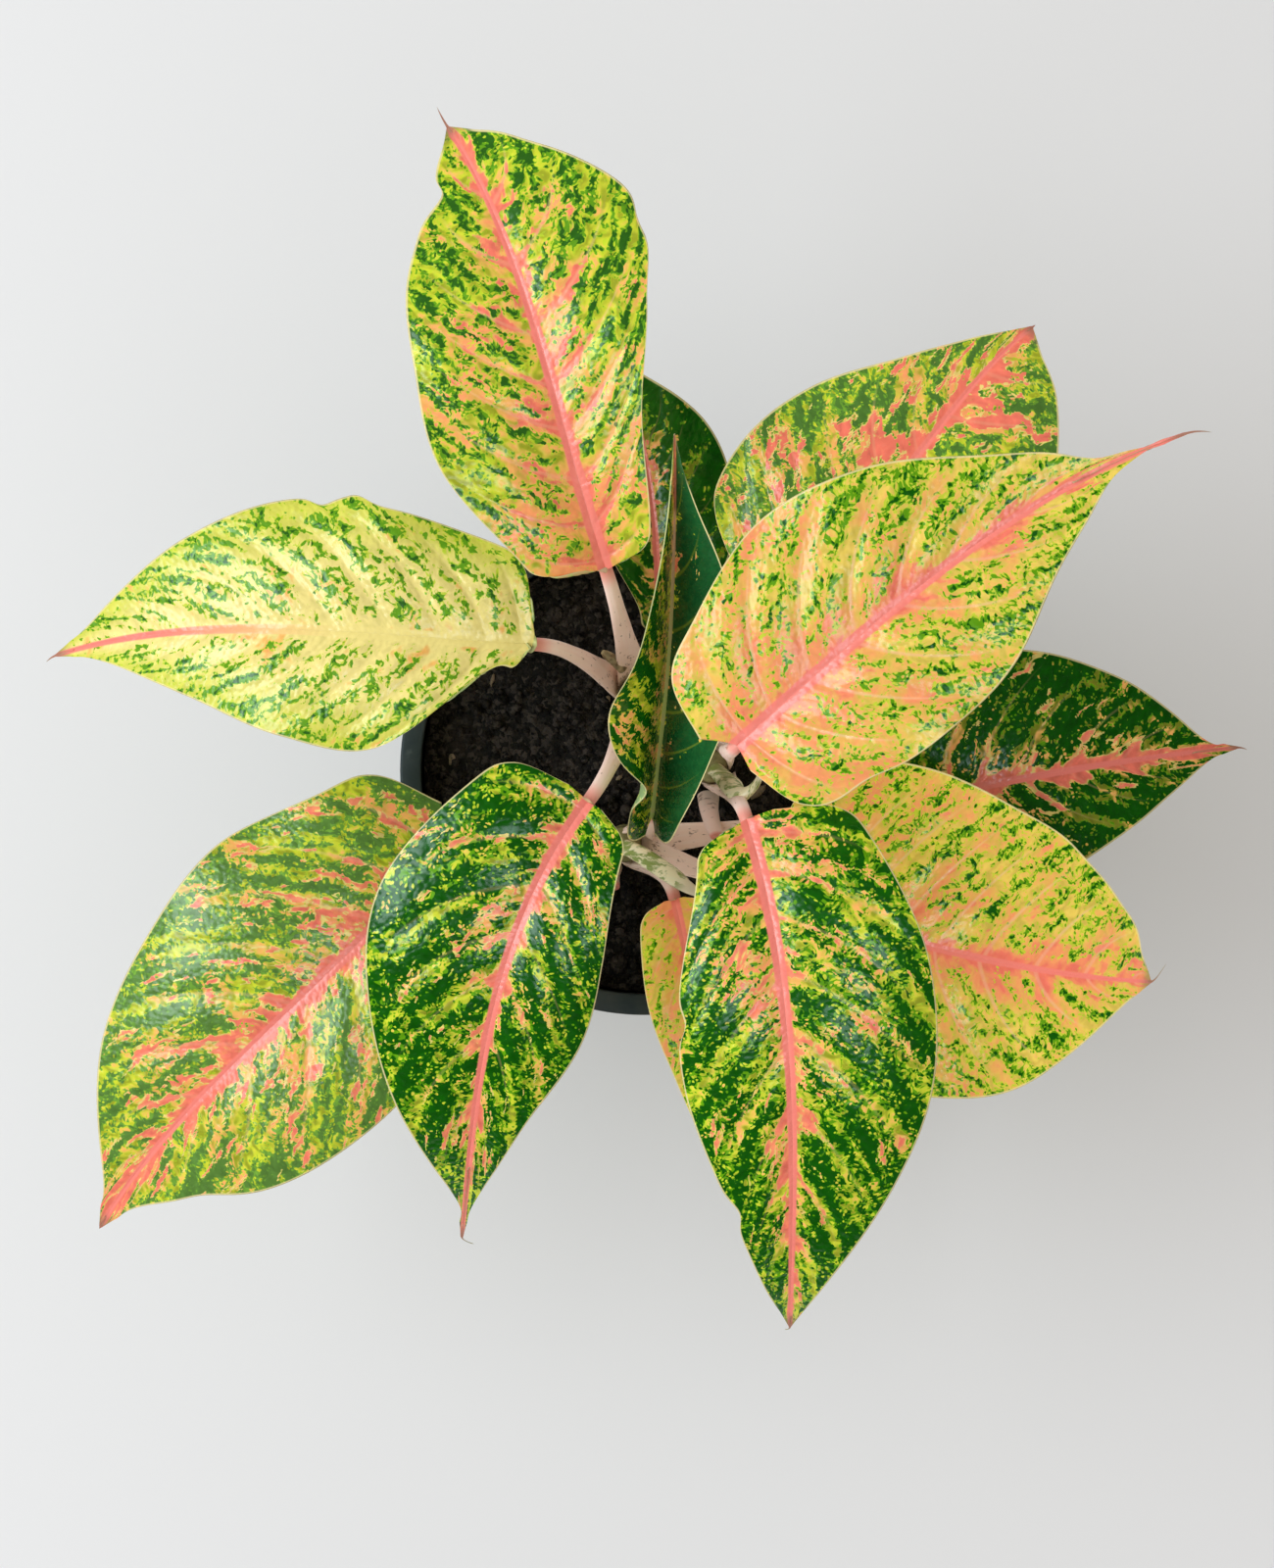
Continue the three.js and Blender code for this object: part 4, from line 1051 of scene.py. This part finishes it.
def pot_profile(look):
    """Radius and height round the pot's section, from the underside to the inner floor"""
    rim, height, foot = look.rim_radius / MM, look.height / MM, look.foot_radius / MM
    wall = look.wall / MM
    neck = height - COLLAR_DROP
    mouth = rim - look.rim_width / MM
    return rounded([
        (0.01, 0, 0), (foot, 0, FOOT_ROUND), (wall_radius(look, neck), neck, 0.5),
        (rim - 2 * COLLAR_DRAFT, neck, EDGE_ROUND), (rim - COLLAR_DRAFT, height - RIM_LIP - 0.6, 0.3),
        (rim, height - RIM_LIP, 0.5), (rim, height, EDGE_ROUND), (mouth, height, EDGE_ROUND),
        (wall_radius(look, neck) - wall, neck - COLLAR_STEP, 1.0), (foot - wall, FLOOR, 1.0),
        (0.01, FLOOR, 0),
    ])


def build_pot(look):
    rings = [level_ring(POT_SIDES, radius, (0, 0, z)) for radius, z in pot_profile(look)]
    pierce(add_tube("nursery_pot", rings, pot_material(look), "pot"))


def pierce(pot):
    """Cuts the drainage holes through the pot's floor"""
    drill = bmesh.new()
    for hole in range(DRAIN_HOLES):
        turn = 2 * math.pi * hole / DRAIN_HOLES
        made = bmesh.ops.create_cone(
            drill, cap_ends=True, segments=DRAIN_SIDES, radius1=DRAIN_RADIUS * MM,
            radius2=DRAIN_RADIUS * MM, depth=DRILL_LENGTH * MM)
        place = Vector((math.cos(turn), math.sin(turn), 0)) * DRAIN_CIRCLE * MM
        bmesh.ops.translate(drill, verts=made["verts"], vec=place)
    mesh = bpy.data.meshes.new("drill")
    drill.to_mesh(mesh)
    drill.free()
    cutter = add_object("drill", mesh)
    cut = pot.modifiers.new("drainage", "BOOLEAN")
    cut.operation = "DIFFERENCE"
    cut.solver = "EXACT"
    cut.object = cutter
    bpy.context.view_layer.update()
    finished = bpy.data.meshes.new_from_object(pot.evaluated_get(bpy.context.evaluated_depsgraph_get()))
    pot.modifiers.clear()
    pot.data = finished
    bpy.data.objects.remove(cutter)


def pot_material(look):
    paint = Paint("pot_plastic")
    place = paint.place()
    cloud = paint.noise(place, scale=35, detail=4, rough=0.6)
    grain = paint.noise(place, scale=1500, detail=2)
    scuff = paint.noise(place.scaled((60, 60, 900)), detail=4, rough=0.7)
    near_rim = place.axes()[2].step(look.height - 0.02, look.height)
    dusty = 0.45 * (cloud + 0.05 * near_rim).step(0.5, 0.75)
    shade = paint.coated(
        look.plastic, (cloud.step(0.3, 0.7), colour("24353a")), (dusty, look.dust),
        (0.35 * scuff.step(0.62, 0.72), colour("6c7472")))
    normal = paint.bump(scuff, 0.15, 0.0002, paint.bump(grain, 0.3, 0.0001))
    return paint.finish(shade, 0.25 * cloud + 0.36 + 0.2 * dusty, 0.5, normal)


# Soil

SOIL_CLEARANCE = 0.8
SOIL_GAP = 0.3
SOIL_RINGS = 72
SOIL_SIDES = 200
SOIL_MIDDLE = 0.2
CRUMB_SMALL = 0.6
CRUMB_LARGE = 2.6
CRUMB_INSET = 2
CRUMB_SEED = 41
CHIP_SHARE = 0.025


def soil_height(look, x, y):
    """The surface in mm: broad swells, lumps and small crumbs"""
    broad = noise.noise(Vector((x * 0.05, y * 0.05, 3.3)))
    lumps = noise.fractal(Vector((x * 0.33, y * 0.33, 8.1)), 0.8, 2.1, 3)
    grit = noise.noise(Vector((x * 1.1, y * 1.1, 2.0)))
    return look.level / MM + (look.relief / MM) * (0.7 * broad + 0.75 * lumps + 0.25 * grit)


def add_crumbs(points, faces, look, edge):
    """Loose crumbs sunk a third into the surface, larger ones fewer, and how pale each of all the points is"""
    draw = np.random.default_rng(CRUMB_SEED)
    kinds = [0.0] * len(points)
    ball = bmesh.new()
    bmesh.ops.create_icosphere(ball, subdivisions=2, radius=1)
    shape = np.array([tuple(vertex.co) for vertex in ball.verts])
    shape_faces = [tuple(vertex.index for vertex in face.verts) for face in ball.faces]
    ball.free()
    for _ in range(look.crumbs):
        radius = edge * math.sqrt(draw.random())
        turn = draw.uniform(0, 2 * math.pi)
        size = CRUMB_SMALL + (CRUMB_LARGE - CRUMB_SMALL) * draw.random() ** 2.5
        x, y = radius * math.cos(turn), radius * math.sin(turn)
        stretch = draw.uniform(0.6, 1.25, 3) * size
        chip = draw.random() < CHIP_SHARE
        if chip:
            stretch = stretch * np.array((2.2, 0.8, 0.4))
        rough = np.array([noise.noise(Vector(p * 1.7) + Vector((x, y, 0))) for p in shape])
        wide, deep, tall = (shape * (1 + 0.45 * rough[:, None]) * stretch).T
        spin = draw.uniform(0, math.pi)
        turned = (
            wide * math.cos(spin) - deep * math.sin(spin), wide * math.sin(spin) + deep * math.cos(spin), tall)
        centre = np.array((x, y, soil_height(look, x, y) + stretch[2] * 0.3))
        first = len(points)
        points.extend(np.stack(turned, -1) + centre)
        faces.extend(tuple(first + k for k in face) for face in shape_faces)
        kinds.extend([1.0 if chip else draw.uniform(0, 0.8)] * len(shape))
    return kinds


def build_soil(look, pot):
    neck = pot.height / MM - COLLAR_DROP - COLLAR_STEP
    side = pot.wall / MM + SOIL_CLEARANCE
    edge = wall_radius(pot, neck) - side
    rings = [
        level_ring(SOIL_SIDES, pot.foot_radius / MM - side, (0, 0, FLOOR + SOIL_GAP)),
        level_ring(SOIL_SIDES, edge, (0, 0, neck))]
    for radius in np.linspace(edge, SOIL_MIDDLE, SOIL_RINGS):
        rings.append(level_ring(SOIL_SIDES, radius, (0, 0, 0)))
        rings[-1][:, 2] = [soil_height(look, x, y) for x, y, _ in rings[-1]]
    points = list(np.concatenate(rings))
    faces = skin(SOIL_RINGS + 2, SOIL_SIDES)
    kinds = add_crumbs(points, faces, look, edge - CRUMB_INSET)
    run = [(kind, 0, 0) for kind in kinds]
    add_piece("potting_soil", points, faces, [soil_material(look)], "soil", {"run": run})


def soil_material(look):
    paint = Paint("potting_soil")
    place = paint.place()
    kind = paint.attribute("run").axes()[0]
    cloud = paint.noise(place, scale=90, detail=5, rough=0.65)
    fine = paint.noise(place, scale=700, detail=3, rough=0.7)
    stirred = paint.noise(place, scale=500, detail=1, output=1).scaled((0.003, 0.003, 0.003), place)
    grain = paint.add("ShaderNodeTexVoronoi", {"Vector": stirred, "Scale": 620.0}, output="Color")
    lump = 1.0 - grain.beside("Distance")
    shade = paint.coated(
        look.peat, (0.6 * cloud.step(0.45, 0.75), look.fibre),
        (0.45 * grain.axes()[0].step(0.5, 1.0), colour("5c524c")),
        (0.3 * fine.step(0.55, 0.75), colour("5a4b40")), (0.35 * kind.step(0.5, 0.8), look.fibre),
        (kind.step(0.9, 0.95), look.chip))
    normal = paint.bump(lump, 0.9, 0.001, paint.bump(cloud, 0.6, 0.001, paint.bump(fine, 0.7, 0.0004)))
    return paint.finish(shade, 0.3 * fine + 0.65, 0.3, normal)


# Stage

SENSOR = 36
AXIS = (-2.4 * MM, -4.2 * MM)
CLIP = (0.05, 10)
LIT = (0, 0, 0.1)
FLOOR_HALF = 1.6
FLOOR_CELLS = 24


def build_floor(look):
    """A pale sheet under everything, of very slightly uneven colour"""
    ticks = np.linspace(-FLOOR_HALF, FLOOR_HALF, FLOOR_CELLS + 1)
    count = len(ticks)
    corners = [row * count + column for row in range(FLOOR_CELLS) for column in range(FLOOR_CELLS)]
    faces = [(c, c + 1, c + count + 1, c + count) for c in corners]
    paint = Paint("pale_floor")
    cloud = paint.noise(paint.place(), scale=3, detail=1, flat=True)
    shade = paint.mixed(cloud.step(0.3, 0.7), look.floor, [c * 0.985 for c in look.floor])
    mesh = bpy.data.meshes.new("floor")
    mesh.from_pydata([(x, y, 0.0) for y in ticks for x in ticks], [], faces)
    mesh.materials.append(paint.finish(shade, 0.7, 0.2))
    add_object("floor", mesh)


def add_window(name, place, size, power, tint, hidden_from):
    """A wide soft light that looks at the plant and leaves out one kind of ray"""
    data = bpy.data.lights.new(name, "AREA")
    data.shape = "RECTANGLE"
    data.size, data.size_y = size
    data.energy = power
    data.color = tint
    light = add_object(name, data)
    light.location = place
    light.rotation_euler = (Vector(LIT) - Vector(place)).to_track_quat("-Z", "Y").to_euler()
    setattr(light, f"visible_{hidden_from}", False)


def build_stage(look, pot):
    build_floor(look)
    scene = bpy.context.scene
    world = bpy.data.worlds.new("even_daylight")
    world.use_nodes = True
    sky = world.node_tree.nodes["Background"]
    sky.inputs["Color"].default_value = (1.0, 0.96, 0.90, 1.0)
    sky.inputs["Strength"].default_value = look.sky
    scene.world = world
    world.cycles_visibility.glossy = False
    add_window("window", (-1.45, 0.12, 1.3), (1.8, 1.8), look.window, (0.88, 0.95, 1.0), "glossy")
    add_window("gleam", (-1.15, -0.1, 1.5), (1.2, 0.7), look.gloss, (0.80, 0.92, 1.0), "diffuse")
    add_window("sheen", (0.3, -0.6, 1.5), (0.5, 0.45), 0.2 * look.gloss, (0.78, 0.90, 1.0), "diffuse")
    scene.view_settings.view_transform = "Standard"
    data = bpy.data.cameras.new("camera")
    data.sensor_width = SENSOR
    data.lens = SENSOR / look.view_height * (look.camera_height - pot.height)
    data.clip_start, data.clip_end = CLIP
    scene.camera = add_object("camera", data)
    scene.camera.location = (*AXIS, look.camera_height)


# Operators, one for each group of like pieces

class EVERGREEN_OT_pot(bpy.types.Operator):
    """Build the nursery pot with its drainage holes"""
    bl_idname = "evergreen.pot"
    bl_label = "Pot"

    def execute(self, context):
        build_pot(context.scene.evergreen_pot)
        return {"FINISHED"}


class EVERGREEN_OT_soil(bpy.types.Operator):
    """Fill the pot with potting soil and loose crumbs"""
    bl_idname = "evergreen.soil"
    bl_label = "Soil"

    def execute(self, context):
        build_soil(context.scene.evergreen_soil, context.scene.evergreen_pot)
        return {"FINISHED"}


class EVERGREEN_OT_canes(bpy.types.Operator):
    """Stand the short canes in the soil"""
    bl_idname = "evergreen.canes"
    bl_label = "Canes"

    def execute(self, context):
        material = cane_material(context.scene.evergreen_stems)
        for name, place in CANES.items():
            build_cane(name, place, material)
        return {"FINISHED"}


class EVERGREEN_OT_petioles(bpy.types.Operator):
    """Grow a pink petiole from its cane to each blade"""
    bl_idname = "evergreen.petioles"
    bl_label = "Petioles"

    def execute(self, context):
        material = petiole_material(context.scene.evergreen_stems)
        for name, leaf in LEAVES.items():
            build_petiole(name, leaf, material)
        return {"FINISHED"}


class EVERGREEN_OT_shoots(bpy.types.Operator):
    """Add the rolled young leaves, the pruned petioles and the dry sheath tip"""
    bl_idname = "evergreen.shoots"
    bl_label = "Small shoots"

    def execute(self, context):
        look = context.scene.evergreen_stems
        finishes = {
            "young": (young_material(look), "young_leaf"),
            "petiole": (bpy.data.materials["petiole_skin"], "petiole"),
            "dry": (dry_material(), "dry_sheath"),
        }
        for name, (kind, squash, rolls, path) in SHOOTS.items():
            build_shoot(name, squash, rolls, path, *finishes[kind])
        return {"FINISHED"}


class EVERGREEN_OT_blades(bpy.types.Operator):
    """Grow the twelve patterned blades"""
    bl_idname = "evergreen.blades"
    bl_label = "Blades"

    def execute(self, context):
        look = context.scene.evergreen_blades
        for number, (name, leaf) in enumerate(LEAVES.items()):
            build_blade(name, leaf, look, number)
        return {"FINISHED"}


class EVERGREEN_OT_stage(bpy.types.Operator):
    """Add the pale floor, the soft light and the camera above"""
    bl_idname = "evergreen.stage"
    bl_label = "Stage"

    def execute(self, context):
        build_stage(context.scene.evergreen_stage, context.scene.evergreen_pot)
        return {"FINISHED"}


OPERATORS = (
    EVERGREEN_OT_pot, EVERGREEN_OT_soil, EVERGREEN_OT_canes, EVERGREEN_OT_petioles,
    EVERGREEN_OT_shoots, EVERGREEN_OT_blades, EVERGREEN_OT_stage,
)


class EVERGREEN_PT_panel(bpy.types.Panel):
    """Lists the steps that build the plant"""
    bl_idname = "EVERGREEN_PT_panel"
    bl_label = "Chinese Evergreen"
    bl_space_type = "VIEW_3D"
    bl_region_type = "UI"
    bl_category = "Evergreen"

    def draw(self, context):
        for operator in OPERATORS:
            self.layout.operator(operator.bl_idname)
        for setting, group in SETTINGS.items():
            box = self.layout.box()
            values = getattr(context.scene, setting)
            for key in group.__annotations__:
                box.prop(values, key)


def register():
    for setting, group in SETTINGS.items():
        bpy.utils.register_class(group)
        setattr(bpy.types.Scene, setting, bpy.props.PointerProperty(type=group))
    for one in (*OPERATORS, EVERGREEN_PT_panel):
        bpy.utils.register_class(one)


def unregister():
    for one in (EVERGREEN_PT_panel, *reversed(OPERATORS)):
        bpy.utils.unregister_class(one)
    for setting, group in reversed(SETTINGS.items()):
        delattr(bpy.types.Scene, setting)
        bpy.utils.unregister_class(group)


def main():
    register()
    for operator in OPERATORS:
        family, action = operator.bl_idname.split(".")
        getattr(getattr(bpy.ops, family), action)()


if __name__ == "__main__":
    main()
